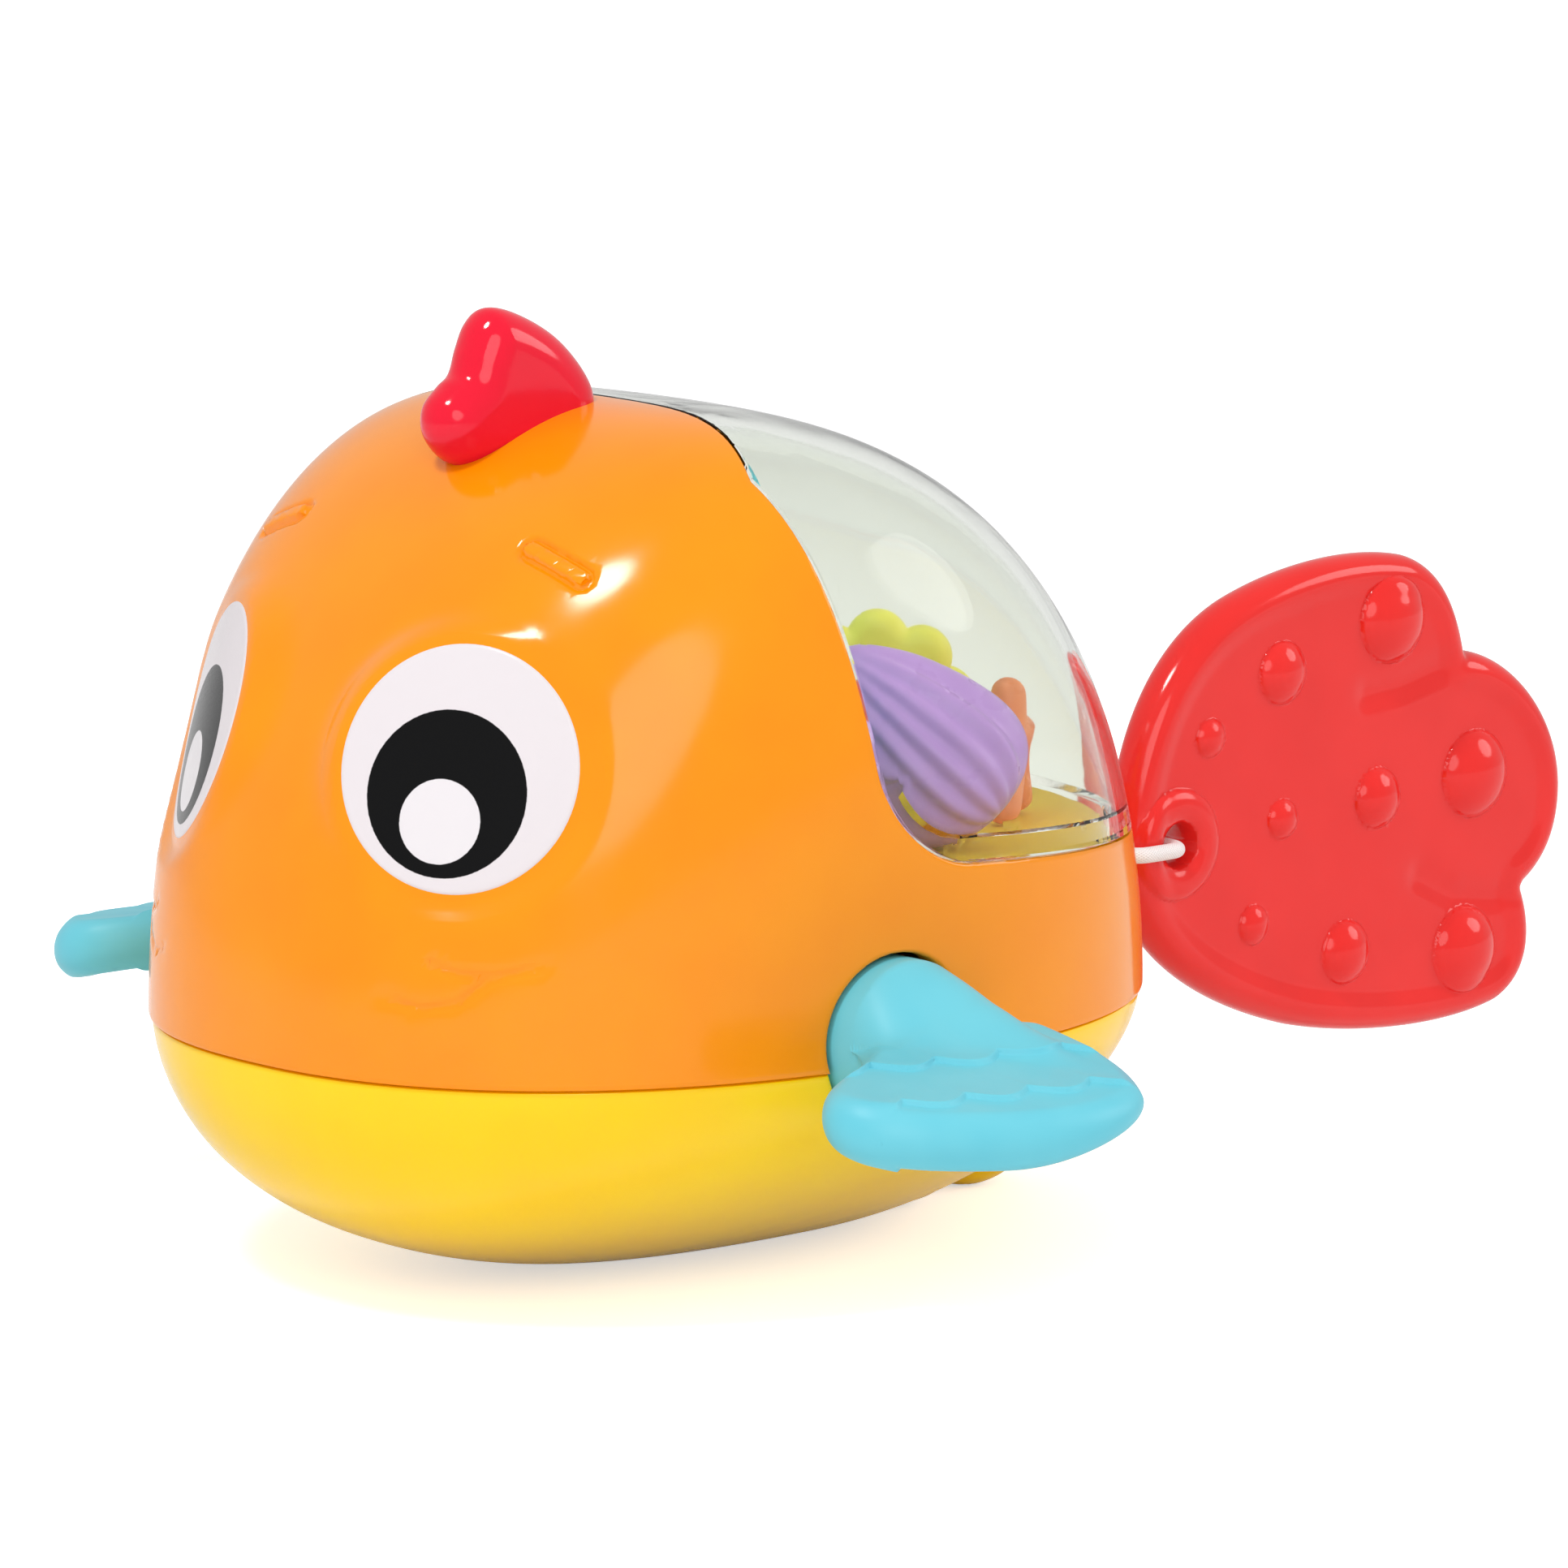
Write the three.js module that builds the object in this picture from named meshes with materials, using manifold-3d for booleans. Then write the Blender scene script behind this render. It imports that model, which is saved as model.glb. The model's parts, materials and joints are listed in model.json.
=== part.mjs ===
// Swimming fish bath toy: pull the tail, the cord winds a spring, and on its way back the fins paddle.
// Millimetres, +Z up, nose toward -X, the fish's left side toward -Y.
// The origin lies on the flat of the hull's belly, below the middle of the body.

import * as THREE from 'three';
import { mergeVertices } from 'three/addons/utils/BufferGeometryUtils.js';
import { ConvexGeometry } from 'three/addons/geometries/ConvexGeometry.js';
import Module from 'manifold-3d';

const wasm = await Module();
wasm.setup();

// Clearances
const SEAT_GAP = 0.3; // between pieces that touch
const RUN_GAP = 0.6; // round a fin hub in the body wall

// Body: horizontal slices whose nose, rear and half-width shrink toward the crown and the belly
const SEAM_Z = 32.4;
const BODY_NOSE = 65;
const BODY_REAR = 66.4;
const BODY_HALF_WIDTH = 55.2;
const UPPER_HEIGHT = 78;
const HULL_DEPTH = 34.4;
const WALL = 2.2;
const WIDEST_X = 3.9;
const CROWN_X = -8.7;
const BELLY_X = 22.9;
const NOSE_PLAN = 2.28; // superellipse powers of the plan
const REAR_PLAN = 2.2;
const UPPER_POWERS = { front: 1.97, rear: 2.04, side: 4 };
const HULL_POWERS = { front: 2.56, rear: 1.87, side: 1.5 };
const TONGUE_RISE = 3; // lip of the hull that stands inside the upper shell
const TONGUE_WALL = 1.5;

// Window in the back of the upper shell
const WINDOW_CROWN_X = -16.1;
const WINDOW_SILL_X = -6.2;
const WINDOW_SILL_Z = SEAM_Z + 24.8;
const WINDOW_SILL_DROP = 5; // the sill falls this much on its way to the rear
const WINDOW_CORNER = 13;
const WINDOW_BOW_X = -7; // middle of the bowed front edge
const WINDOW_BOW_RADIUS = 94;

// Play compartment behind the window
const TRAY_TOP_Z = SEAM_Z + 21.5;
const TRAY_WALL = 1.6;
const HUMP_RADIUS = 8;
const HUMP_HEIGHT = 3.5;
const HUMP_X = 52;

// Eyes: printed discs let into the shell
const EYE_RADIUS = 15;
const EYE_CENTRE = new THREE.Vector3(-52.3, -25.8, SEAM_Z + 38.6);
const EYE_FACING = new THREE.Vector3(-0.7, -0.68, 0.2).normalize();
const EYE_THICK = 0.5;

// Crest on the crown
const CREST_THICK = 11;
const CREST_EDGE = 2.5;
const CREST_PEG_RADIUS = 2.5;
const CREST_PEG_X = -21;
const CREST_PEG_DEPTH = 7;
const CREST_PEG_RISE = 4;

// Fins and their axle
const AXLE_X = -6;
const AXLE_Z = SEAM_Z + 3.5;
const AXLE_RADIUS = 2.5;
const AXLE_HALF = 56;
const HUB_RADIUS = 10;
const HUB_INNER_Y = 46;
const HUB_OUTER_Y = 57;
const FIN_THICK = 8.4;
const FIN_EDGE = 2.4;
const FIN_DROOP = 10; // degrees
// Neck between hub and blade: forward of the axle, outward of the hub, half thickness
const FIN_NECK = [[-12, 14, 2.6], [-8, 21, 2.2], [8, 20, 2.2], [15, 13, 2.6]];
const FIN_NECK_SINK = 0.5; // into the hub

// Keel lobes under the rear: place along the body, half length, half height
const KEEL_LOBES = [[39, 9, 9], [51.5, 8.5, 9.5]];
const KEEL_HALF_THICK = 4.5;
const KEEL_LEAN = -18; // degrees

// Gear train
const GEAR_MODULE = 0.8;
const SPOOL_TEETH = 40;
const PINION_TEETH = 20;
const PRESSURE_ANGLE = THREE.MathUtils.degToRad(20);
const GEAR_BACKLASH = 0.3;
const GEAR_WIDTH = 4;
const GEAR_Y = 6; // middle of the gears
const SHAFT_RADIUS = 2;
const SHAFT_PROUD = 2; // past the plates

// Cord and its spool
const CORD_RADIUS = 1.1;
const CORD_Z = SEAM_Z + 9;
const WINDING_RADIUS = 12;
const WINDING_LOOPS = 4;
const WINDING_PITCH = 2.7;
const FLANGE_RADIUS = 15;
const FLANGE_THICK = 1.5;
const SPOOL_HUB_WALL = 2;

// Mainspring
const SPRING_TURNS = 7;
const SPRING_STRIP = 0.5;
const SPRING_INNER = 3.4;
const SPRING_OUTER = 12.2;
const SPRING_WIDTH = 4.4;
const DRUM_WALL = 1.3;
const DRUM_GAP = 1; // between the gear and the drum's mouth

// Gearbox frame
const PLATE_THICK = 1.6;
const PLATE_INNER_Y = 15;
const PLATE_SPOOL_RADIUS = 22;
const PLATE_AXLE_RADIUS = 16;
const SPACER_RADIUS = 2.2;
const SPACER_EDGE = 0.4; // from a spacer to the edge of its plate
const SPOOL_SPACERS = [62, -45]; // degrees round the spool
const AXLE_SPACERS = [135, 225]; // degrees round the axle
const TAB_SIZE = 9;
const TAB_THICK = 2;
const TAB_RISE_FRONT = 3; // tabs stand this far above the lowest point of the plate
const TAB_RISE_REAR = 5;
const POST_RADIUS = 3.4;
const SCREW_RADIUS = 1.1;
const SCREW_HEAD_RADIUS = 2.3;
const SCREW_HEAD_THICK = 1.5;
const SCREW_LENGTH = 7;

// Axle bushes in the plates
const AXLE_BUSH_WALL = 1.5;
const AXLE_BUSH_FLANGE = 1.5; // past the bush's own wall
const AXLE_BUSH_FLANGE_THICK = 1.2;
const AXLE_BUSH_PROUD = 0.4;

// Cord outlet at the rear
const BUSH_RADIUS = 3.2;
const BUSH_FLANGE_RADIUS = 5;
const BUSH_FLANGE_THICK = 2;
const BUSH_LENGTH = 7;

// Tail paddle, in the plane of symmetry
const TAIL_THICK = 7;
const TAIL_EDGE = 2.4;
const TAIL_FRONT_X = 83.5;
const TAIL_LENGTH = 84.5;
const TAIL_HEIGHT = 68;
const EYELET_X = 92;
const EYELET_HOLE = 3.2;
const EYELET_RING = 7.2;
const EYELET_RAISE = 1;
const KNOT_RADIUS = 2.4;
const LOOP_POWER = 0.4; // the loop is a rounded oblong
const DOT_RISE = 0.55; // share of a dot's radius that stands proud
const DOT_SINK = 0.5;

// Loose play pieces: place on the tray and sizes
const SCALLOP_FROM_SIDE = 24.2;
const SCALLOP_PLACE = [17, SCALLOP_FROM_SIDE - BODY_HALF_WIDTH];
const SCALLOP_HALF = [12, 9, 14];
const SCALLOP_RIBS = 10;
const SCALLOP_RIB_HEIGHT = 0.06; // share of the radius
const SCALLOP_TAPER = 0.18;
const SCALLOP_TILT = [12, -28]; // degrees about x, then y
const STAR_FROM_SIDE = 31.2;
const STAR_PLACE = [39.5, STAR_FROM_SIDE - BODY_HALF_WIDTH];
const STAR_RADII = [8.5, 4];
const STAR_TURN = 37; // degrees
const ANEMONE_PLACE = [34, -2];
const ANEMONE_RADII = [12.5, 10];
const ANEMONE_TURN = -41; // degrees
const STAR_DEPTH = 2.5;
const STAR_EDGE = 1.5;

const SPOOL_Z = CORD_Z - WINDING_RADIUS;
const GEAR_CENTRES = GEAR_MODULE * (SPOOL_TEETH + PINION_TEETH) / 2;
const SPOOL_X = AXLE_X + Math.sqrt(GEAR_CENTRES ** 2 - (AXLE_Z - SPOOL_Z) ** 2);

// Finishes
function finish(color, roughness, metalness = 0, opacity = 1) {
  return new THREE.MeshStandardMaterial({ color, roughness, metalness, opacity, transparent: opacity < 1 });
}
const ORANGE = finish('#f99a1c', 0.25);
const YELLOW = finish('#fdd600', 0.3);
const TEAL = finish('#7fd0dc', 0.45);
const RED = finish('#ee3a35', 0.25);
const CLEAR = finish('#e4ece8', 0.08, 0, 0.3);
const WHITE = finish('#ece4e6', 0.4);
const PURPLE = finish('#b796cd', 0.4);
const SALMON = finish('#fba06a', 0.4);
const STEEL = finish('#b9bcc0', 0.3, 0.9);
const NATURAL = finish('#e8e4d8', 0.5);
const CORD = finish('#f4f2ee', 0.85);

const fish = new THREE.Group();

// Solids and meshes

function toSolid(geometry) {
  const bare = geometry.clone();
  bare.deleteAttribute('normal');
  bare.deleteAttribute('uv');
  const merged = mergeVertices(bare, 1e-4);
  const vertProperties = new Float32Array(merged.attributes.position.array);
  const triVerts = new Uint32Array(merged.index.array);
  return new wasm.Manifold(new wasm.Mesh({ numProp: 3, vertProperties, triVerts }));
}

function toGeometry(solid) {
  const mesh = solid.getMesh();
  const corners = new Float32Array(mesh.numVert * 3);
  for (let i = 0; i < mesh.numVert; i += 1) {
    for (let k = 0; k < 3; k += 1) {
      corners[3 * i + k] = mesh.vertProperties[mesh.numProp * i + k];
    }
  }
  const geometry = new THREE.BufferGeometry();
  geometry.setAttribute('position', new THREE.BufferAttribute(corners, 3));
  geometry.setIndex(new THREE.BufferAttribute(new Uint32Array(mesh.triVerts), 1));
  return geometry;
}

function addPiece(name, shape, material) {
  const geometry = shape.isBufferGeometry ? shape : toGeometry(shape);
  geometry.computeVertexNormals();
  const mesh = new THREE.Mesh(geometry, material);
  mesh.name = name;
  fish.add(mesh);
}

function joinAll(solids) {
  return solids.reduce((whole, next) => whole.add(next));
}

// Basic forms

function box(x0, x1, y0, y1, z0, z1) {
  const geometry = new THREE.BoxGeometry(x1 - x0, y1 - y0, z1 - z0);
  geometry.translate((x0 + x1) / 2, (y0 + y1) / 2, (z0 + z1) / 2);
  return toSolid(geometry);
}

// A round bar between two points
function bar(radius, from, to, sides = 24) {
  const along = to.clone().sub(from);
  const geometry = new THREE.CylinderGeometry(radius, radius, along.length(), sides);
  const upright = new THREE.Vector3(0, 1, 0);
  const turn = new THREE.Quaternion().setFromUnitVectors(upright, along.clone().normalize());
  geometry.applyQuaternion(turn);
  geometry.translate(...from.clone().add(to).multiplyScalar(0.5).toArray());
  return toSolid(geometry);
}

// A round bar across the fish, from one y to another
function crossBar(radius, x, z, y0, y1, sides = 24) {
  return bar(radius, new THREE.Vector3(x, y0, z), new THREE.Vector3(x, y1, z), sides);
}

// A closed profile of [radius, y] points turned about an axis that runs across the fish
function crossLathe(profile, x, z, sides = 24) {
  const points = profile.map(([radius, y]) => new THREE.Vector2(radius, y));
  if (THREE.ShapeUtils.isClockWise(points)) {
    points.reverse();
  }
  points.push(points[0].clone());
  const geometry = new THREE.LatheGeometry(points, sides);
  geometry.translate(x, 0, z);
  return toSolid(geometry);
}

// A side outline in (x, z) made solid across the fish, with rounded edges where edge is given
function sideSolid(shape, thick, y, edge = 0, curveSegments = 6) {
  const geometry = new THREE.ExtrudeGeometry(shape, {
    depth: thick - 2 * edge,
    bevelEnabled: edge > 0,
    bevelThickness: edge,
    bevelSize: edge,
    bevelOffset: -edge,
    bevelSegments: 2,
    curveSegments,
  });
  geometry.translate(0, 0, -(thick - 2 * edge) / 2);
  geometry.rotateX(Math.PI / 2);
  geometry.translate(0, y, 0);
  return toSolid(geometry);
}

// A closed surface from rings of points, the first and last rings shrunk to poles
function ringSolid(poleA, rings, poleB) {
  const sides = rings[0].length;
  const corners = [poleA, ...rings.flat(), poleB].flatMap((p) => [p.x, p.y, p.z]);
  const faces = [];
  const last = 1 + rings.length * sides;
  for (let s = 0; s < sides; s += 1) {
    const t = (s + 1) % sides;
    faces.push(0, 1 + t, 1 + s);
    faces.push(last, last - sides + s, last - sides + t);
    for (let r = 0; r + 1 < rings.length; r += 1) {
      const a = 1 + r * sides;
      const b = a + sides;
      faces.push(a + s, a + t, b + t);
      faces.push(a + s, b + t, b + s);
    }
  }
  const geometry = new THREE.BufferGeometry();
  geometry.setAttribute('position', new THREE.Float32BufferAttribute(corners, 3));
  geometry.setIndex(faces);
  return geometry;
}

// Body

function profile(share, power) {
  return Math.max(1 - share ** power, 0) ** (1 / power);
}

function signedPower(value, power) {
  return Math.sign(value) * Math.abs(value) ** power;
}

// One slice of the body at a share (0 seam, 1 pole) of its upper or lower height, all sides moved in by inset
function bodySlice(share, upper, inset, sides) {
  const powers = upper ? UPPER_POWERS : HULL_POWERS;
  const poleX = upper ? CROWN_X : BELLY_X;
  const height = upper ? UPPER_HEIGHT - inset : -(HULL_DEPTH - inset);
  const front = poleX + (inset - BODY_NOSE - poleX) * profile(share, powers.front);
  const rear = poleX + (BODY_REAR - inset - poleX) * profile(share, powers.rear);
  const half = (BODY_HALF_WIDTH - inset) * profile(share, powers.side);
  const lean = WIDEST_X + (poleX - WIDEST_X) * (1 - profile(share, 2));
  const middle = Math.min(Math.max(lean, front), rear);
  const ring = [];
  for (let s = 0; s < sides; s += 1) {
    const angle = 2 * Math.PI * s / sides;
    const c = Math.cos(angle);
    const power = 2 / (c < 0 ? NOSE_PLAN : REAR_PLAN);
    const reach = c < 0 ? middle - front : rear - middle;
    const x = middle + reach * signedPower(c, power);
    const y = half * signedPower(Math.sin(angle), power);
    ring.push(new THREE.Vector3(x, y, SEAM_Z + height * share));
  }
  return ring;
}

// The whole body as one solid, moved in by inset
function bodySolid(inset, sides = 40, upperRings = 10, lowerRings = 5) {
  const rings = [];
  for (let k = lowerRings - 1; k > 0; k -= 1) {
    rings.push(bodySlice(Math.sin(k / lowerRings * Math.PI / 2), false, inset, sides));
  }
  for (let k = 0; k < upperRings; k += 1) {
    rings.push(bodySlice(Math.sin(k / upperRings * Math.PI / 2), true, inset, sides));
  }
  const belly = new THREE.Vector3(BELLY_X, 0, SEAM_Z - HULL_DEPTH + inset);
  const crown = new THREE.Vector3(CROWN_X, 0, SEAM_Z + UPPER_HEIGHT - inset);
  return toSolid(ringSolid(belly, rings, crown));
}

const FAR = 150;
const outer = bodySolid(0);
const inner = bodySolid(WALL, 32, 9, 5);
const above = box(-FAR, FAR, -FAR, FAR, SEAM_Z + SEAT_GAP / 2, SEAM_Z + FAR);
const below = box(-FAR, FAR, -FAR, FAR, 0, SEAM_Z - SEAT_GAP / 2);
const overFloor = box(-FAR, FAR, -FAR, FAR, WALL, SEAM_Z + FAR);

// The window's side outline, grown outward by grow
function windowSolid(grow) {
  const fall = WINDOW_SILL_DROP / (BODY_REAR - WINDOW_SILL_X);
  const lean = (WINDOW_SILL_X - WINDOW_CROWN_X) / (SEAM_Z + UPPER_HEIGHT - WINDOW_SILL_Z);
  const sillX = WINDOW_SILL_X - grow;
  const sillZ = WINDOW_SILL_Z - grow;
  const shape = new THREE.Shape();
  shape.moveTo(sillX - lean * FAR, sillZ + FAR);
  shape.lineTo(sillX - lean * WINDOW_CORNER, sillZ + WINDOW_CORNER);
  shape.quadraticCurveTo(sillX, sillZ, sillX + WINDOW_CORNER, sillZ - fall * WINDOW_CORNER);
  shape.lineTo(FAR, sillZ - fall * (FAR - sillX));
  shape.lineTo(FAR, sillZ + FAR);
  const bowCentre = WINDOW_BOW_X - grow - WINDOW_BOW_RADIUS;
  const low = new THREE.Vector3(bowCentre, 0, 0);
  const high = new THREE.Vector3(bowCentre, 0, 2 * FAR);
  return sideSolid(shape, 2 * FAR, 0).subtract(bar(WINDOW_BOW_RADIUS, low, high, 120));
}

function finHoles() {
  return crossBar(HUB_RADIUS + RUN_GAP, AXLE_X, AXLE_Z, -FAR, FAR, 24);
}

function mirrored(point) {
  return new THREE.Vector3(point.x, -point.y, point.z);
}

function eyeBar(radius, side) {
  const centre = side < 0 ? EYE_CENTRE : mirrored(EYE_CENTRE);
  const facing = side < 0 ? EYE_FACING : mirrored(EYE_FACING);
  const reach = facing.clone().multiplyScalar(EYE_RADIUS);
  return bar(radius, centre.clone().sub(reach), centre.clone().add(reach), 32);
}

function buildBody() {
  const holes = finHoles();
  const cordHole = bar(
    BUSH_RADIUS + SEAT_GAP,
    new THREE.Vector3(BODY_REAR - BUSH_LENGTH - WALL, 0, CORD_Z),
    new THREE.Vector3(FAR, 0, CORD_Z),
  );
  const pegHole = bar(
    CREST_PEG_RADIUS + SEAT_GAP,
    new THREE.Vector3(CREST_PEG_X, 0, SEAM_Z + UPPER_HEIGHT / 2),
    new THREE.Vector3(CREST_PEG_X, 0, SEAM_Z + FAR),
  );
  const skin = outer.subtract(inner);
  const eyeFloor = bodySolid(EYE_THICK + SEAT_GAP);
  let shell = skin.intersect(above).subtract(windowSolid(SEAT_GAP));
  shell = shell.subtract(holes).subtract(cordHole).subtract(pegHole);
  for (const side of [-1, 1]) {
    const dish = eyeBar(EYE_RADIUS + SEAT_GAP, side).subtract(eyeFloor);
    shell = shell.subtract(dish);
    const disc = eyeBar(EYE_RADIUS, side).intersect(outer).subtract(bodySolid(EYE_THICK));
    addPiece(side < 0 ? 'left_eye' : 'right_eye', disc, WHITE);
  }
  addPiece('upper_shell', shell, ORANGE);
  addPiece('window_dome', skin.intersect(windowSolid(0)), CLEAR);
  addPiece('lower_hull', buildHull(holes), YELLOW);
}

// Two rounded lobes of a keel fin stand under the rear of the hull
function keelLobes() {
  const lobes = [];
  for (const [x, length, rise] of KEEL_LOBES) {
    const geometry = new THREE.SphereGeometry(1, 12, 8);
    geometry.scale(length, KEEL_HALF_THICK, rise);
    geometry.rotateY(THREE.MathUtils.degToRad(KEEL_LEAN));
    geometry.translate(x, 0, rise + SEAT_GAP);
    lobes.push(toSolid(geometry));
  }
  return joinAll(lobes).subtract(box(-FAR, FAR, -FAR, FAR, -FAR, SEAT_GAP));
}

function postPlaces() {
  const y = PLATE_INNER_Y + PLATE_THICK + TAB_SIZE / 2;
  const frontZ = AXLE_Z - PLATE_AXLE_RADIUS + TAB_RISE_FRONT;
  const rearZ = SPOOL_Z - PLATE_SPOOL_RADIUS + TAB_RISE_REAR;
  return [-1, 1].flatMap((side) => [
    new THREE.Vector3(AXLE_X, side * y, frontZ),
    new THREE.Vector3(SPOOL_X, side * y, rearZ),
  ]);
}

function buildHull(holes) {
  let hull = outer.subtract(inner.intersect(overFloor)).intersect(below);
  const lipOuter = bodySolid(WALL + SEAT_GAP, 32, 9, 5);
  const lipInner = bodySolid(WALL + SEAT_GAP + TONGUE_WALL, 32, 9, 5);
  const lipBand = box(-FAR, FAR, -FAR, FAR, SEAM_Z - TONGUE_RISE, SEAM_Z + TONGUE_RISE);
  const root = box(-FAR, FAR, -FAR, FAR, SEAM_Z - TONGUE_RISE, SEAM_Z - SEAT_GAP);
  const bridge = bodySolid(WALL / 2, 32, 9, 5).subtract(lipInner).intersect(root);
  hull = hull.add(lipOuter.subtract(lipInner).intersect(lipBand)).add(bridge);
  hull = hull.add(keelLobes().subtract(inner));
  for (const place of postPlaces()) {
    const foot = new THREE.Vector3(place.x, place.y, 0);
    const top = place.clone().setZ(place.z - SEAT_GAP);
    const pilotFloor = place.clone().setZ(place.z + TAB_THICK - SCREW_LENGTH - SCREW_RADIUS);
    hull = hull.add(bar(POST_RADIUS, foot, top, 12).intersect(outer));
    hull = hull.subtract(bar(SCREW_RADIUS + SEAT_GAP, pilotFloor, place, 8));
  }
  return hull.subtract(holes);
}

// Play compartment: a floor with a low hump, and a wall at the window's front edge

function buildCompartment() {
  const room = bodySolid(WALL + SEAT_GAP, 32, 9, 5);
  const lean = (WINDOW_SILL_X - WINDOW_CROWN_X) / (SEAM_Z + UPPER_HEIGHT - WINDOW_SILL_Z);
  const crownX = WINDOW_SILL_X - lean * (FAR - TRAY_TOP_Z);
  const wallShape = new THREE.Shape();
  wallShape.moveTo(WINDOW_SILL_X, TRAY_TOP_Z + SEAT_GAP);
  wallShape.lineTo(WINDOW_SILL_X + TRAY_WALL, TRAY_TOP_Z + SEAT_GAP);
  wallShape.lineTo(crownX + TRAY_WALL, FAR);
  wallShape.lineTo(crownX, FAR);
  const wall = room.intersect(sideSolid(wallShape, 2 * FAR, 0));
  addPiece('compartment_wall', wall, TEAL);
  const slab = box(WINDOW_SILL_X - TRAY_WALL, FAR, -FAR, FAR, TRAY_TOP_Z - TRAY_WALL, TRAY_TOP_Z);
  const swell = new THREE.SphereGeometry(1, 14, 8);
  swell.scale(HUMP_RADIUS, HUMP_RADIUS, HUMP_HEIGHT);
  swell.translate(HUMP_X, 0, TRAY_TOP_Z);
  const overSlab = box(-FAR, FAR, -FAR, FAR, TRAY_TOP_Z - TRAY_WALL / 2, FAR);
  const floor = room.intersect(slab.add(toSolid(swell).intersect(overSlab)));
  addPiece('compartment_tray', floor, YELLOW);
}

// Crest: a comb with a small front lobe and a tall swept lobe, pegged into the shell

function buildCrest() {
  const base = SEAM_Z + UPPER_HEIGHT;
  const shape = new THREE.Shape();
  shape.moveTo(-35, base - 8);
  shape.lineTo(-35.3, base - 2);
  shape.quadraticCurveTo(-35, base + 4.5, -30.5, base + 3.6);
  shape.quadraticCurveTo(-29.5, base + 12.8, -25, base + 12.6);
  shape.bezierCurveTo(-19, base + 12.2, -11, base + 7, -9.6, base - 2);
  shape.lineTo(-9.6, base - 8);
  const comb = sideSolid(shape, CREST_THICK, 0, CREST_EDGE, 7);
  const seat = bodySolid(-SEAT_GAP);
  const peg = bar(
    CREST_PEG_RADIUS,
    new THREE.Vector3(CREST_PEG_X, 0, base - CREST_PEG_DEPTH),
    new THREE.Vector3(CREST_PEG_X, 0, base + CREST_PEG_RISE),
    12,
  );
  addPiece('crest', comb.subtract(seat).add(peg), RED);
}

// Fins

// The fin's outline seen from above: how far forward of the axle, and how far outward of the hub
function finShape() {
  const shape = new THREE.Shape();
  shape.moveTo(-11, 0);
  shape.lineTo(-14.6, 6);
  shape.bezierCurveTo(-15.4, 15, -15, 24, -10, 31);
  shape.bezierCurveTo(-5, 35.5, 5, 35, 13, 32.5);
  shape.bezierCurveTo(22, 29.5, 30, 25, 29.5, 18.5);
  shape.bezierCurveTo(29, 13, 22, 11.5, 16, 8);
  shape.quadraticCurveTo(11, 5, 9, 0);
  return shape;
}

function finSolid(side) {
  const blade = new THREE.ExtrudeGeometry(finShape(), {
    depth: FIN_THICK - 2 * FIN_EDGE,
    bevelThickness: FIN_EDGE,
    bevelSize: FIN_EDGE,
    bevelOffset: -FIN_EDGE,
    bevelSegments: 2,
    curveSegments: 5,
  });
  blade.translate(0, 0, -(FIN_THICK - 2 * FIN_EDGE) / 2);
  blade.rotateX(THREE.MathUtils.degToRad(-FIN_DROOP));
  // forward is -X and outward is -Y, so a half turn about Z places the left fin
  blade.rotateZ(Math.PI);
  blade.translate(AXLE_X, -HUB_OUTER_Y, AXLE_Z);
  const rim = [];
  const sides = 20;
  for (let s = 0; s < sides; s += 1) {
    const angle = 2 * Math.PI * s / sides;
    const x = AXLE_X + HUB_RADIUS * Math.cos(angle);
    const z = AXLE_Z + HUB_RADIUS * Math.sin(angle);
    rim.push(new THREE.Vector3(x, FIN_NECK_SINK - HUB_OUTER_Y, z));
  }
  const fall = Math.sin(THREE.MathUtils.degToRad(FIN_DROOP));
  for (const [forward, outward, half] of FIN_NECK) {
    for (const face of [-half, half]) {
      const z = AXLE_Z - outward * fall + face;
      rim.push(new THREE.Vector3(AXLE_X - forward, -HUB_OUTER_Y - outward, z));
    }
  }
  const neck = toSolid(new ConvexGeometry(rim));
  const hub = crossBar(HUB_RADIUS, AXLE_X, AXLE_Z, -HUB_OUTER_Y, -HUB_INNER_Y, 24);
  const bore = crossBar(AXLE_RADIUS + SEAT_GAP, AXLE_X, AXLE_Z, -AXLE_HALF - SEAT_GAP, 0, 16);
  const left = toSolid(blade).add(neck).add(hub).subtract(bore);
  return side < 0 ? left : left.mirror([0, 1, 0]);
}

function buildFins() {
  addPiece('left_fin', finSolid(-1), TEAL);
  addPiece('right_fin', finSolid(1), TEAL);
  addPiece('fin_axle', crossBar(AXLE_RADIUS, AXLE_X, AXLE_Z, -AXLE_HALF, AXLE_HALF, 16), STEEL);
}

// Gears with involute flanks

function involute(angle) {
  return Math.tan(angle) - angle;
}

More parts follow.
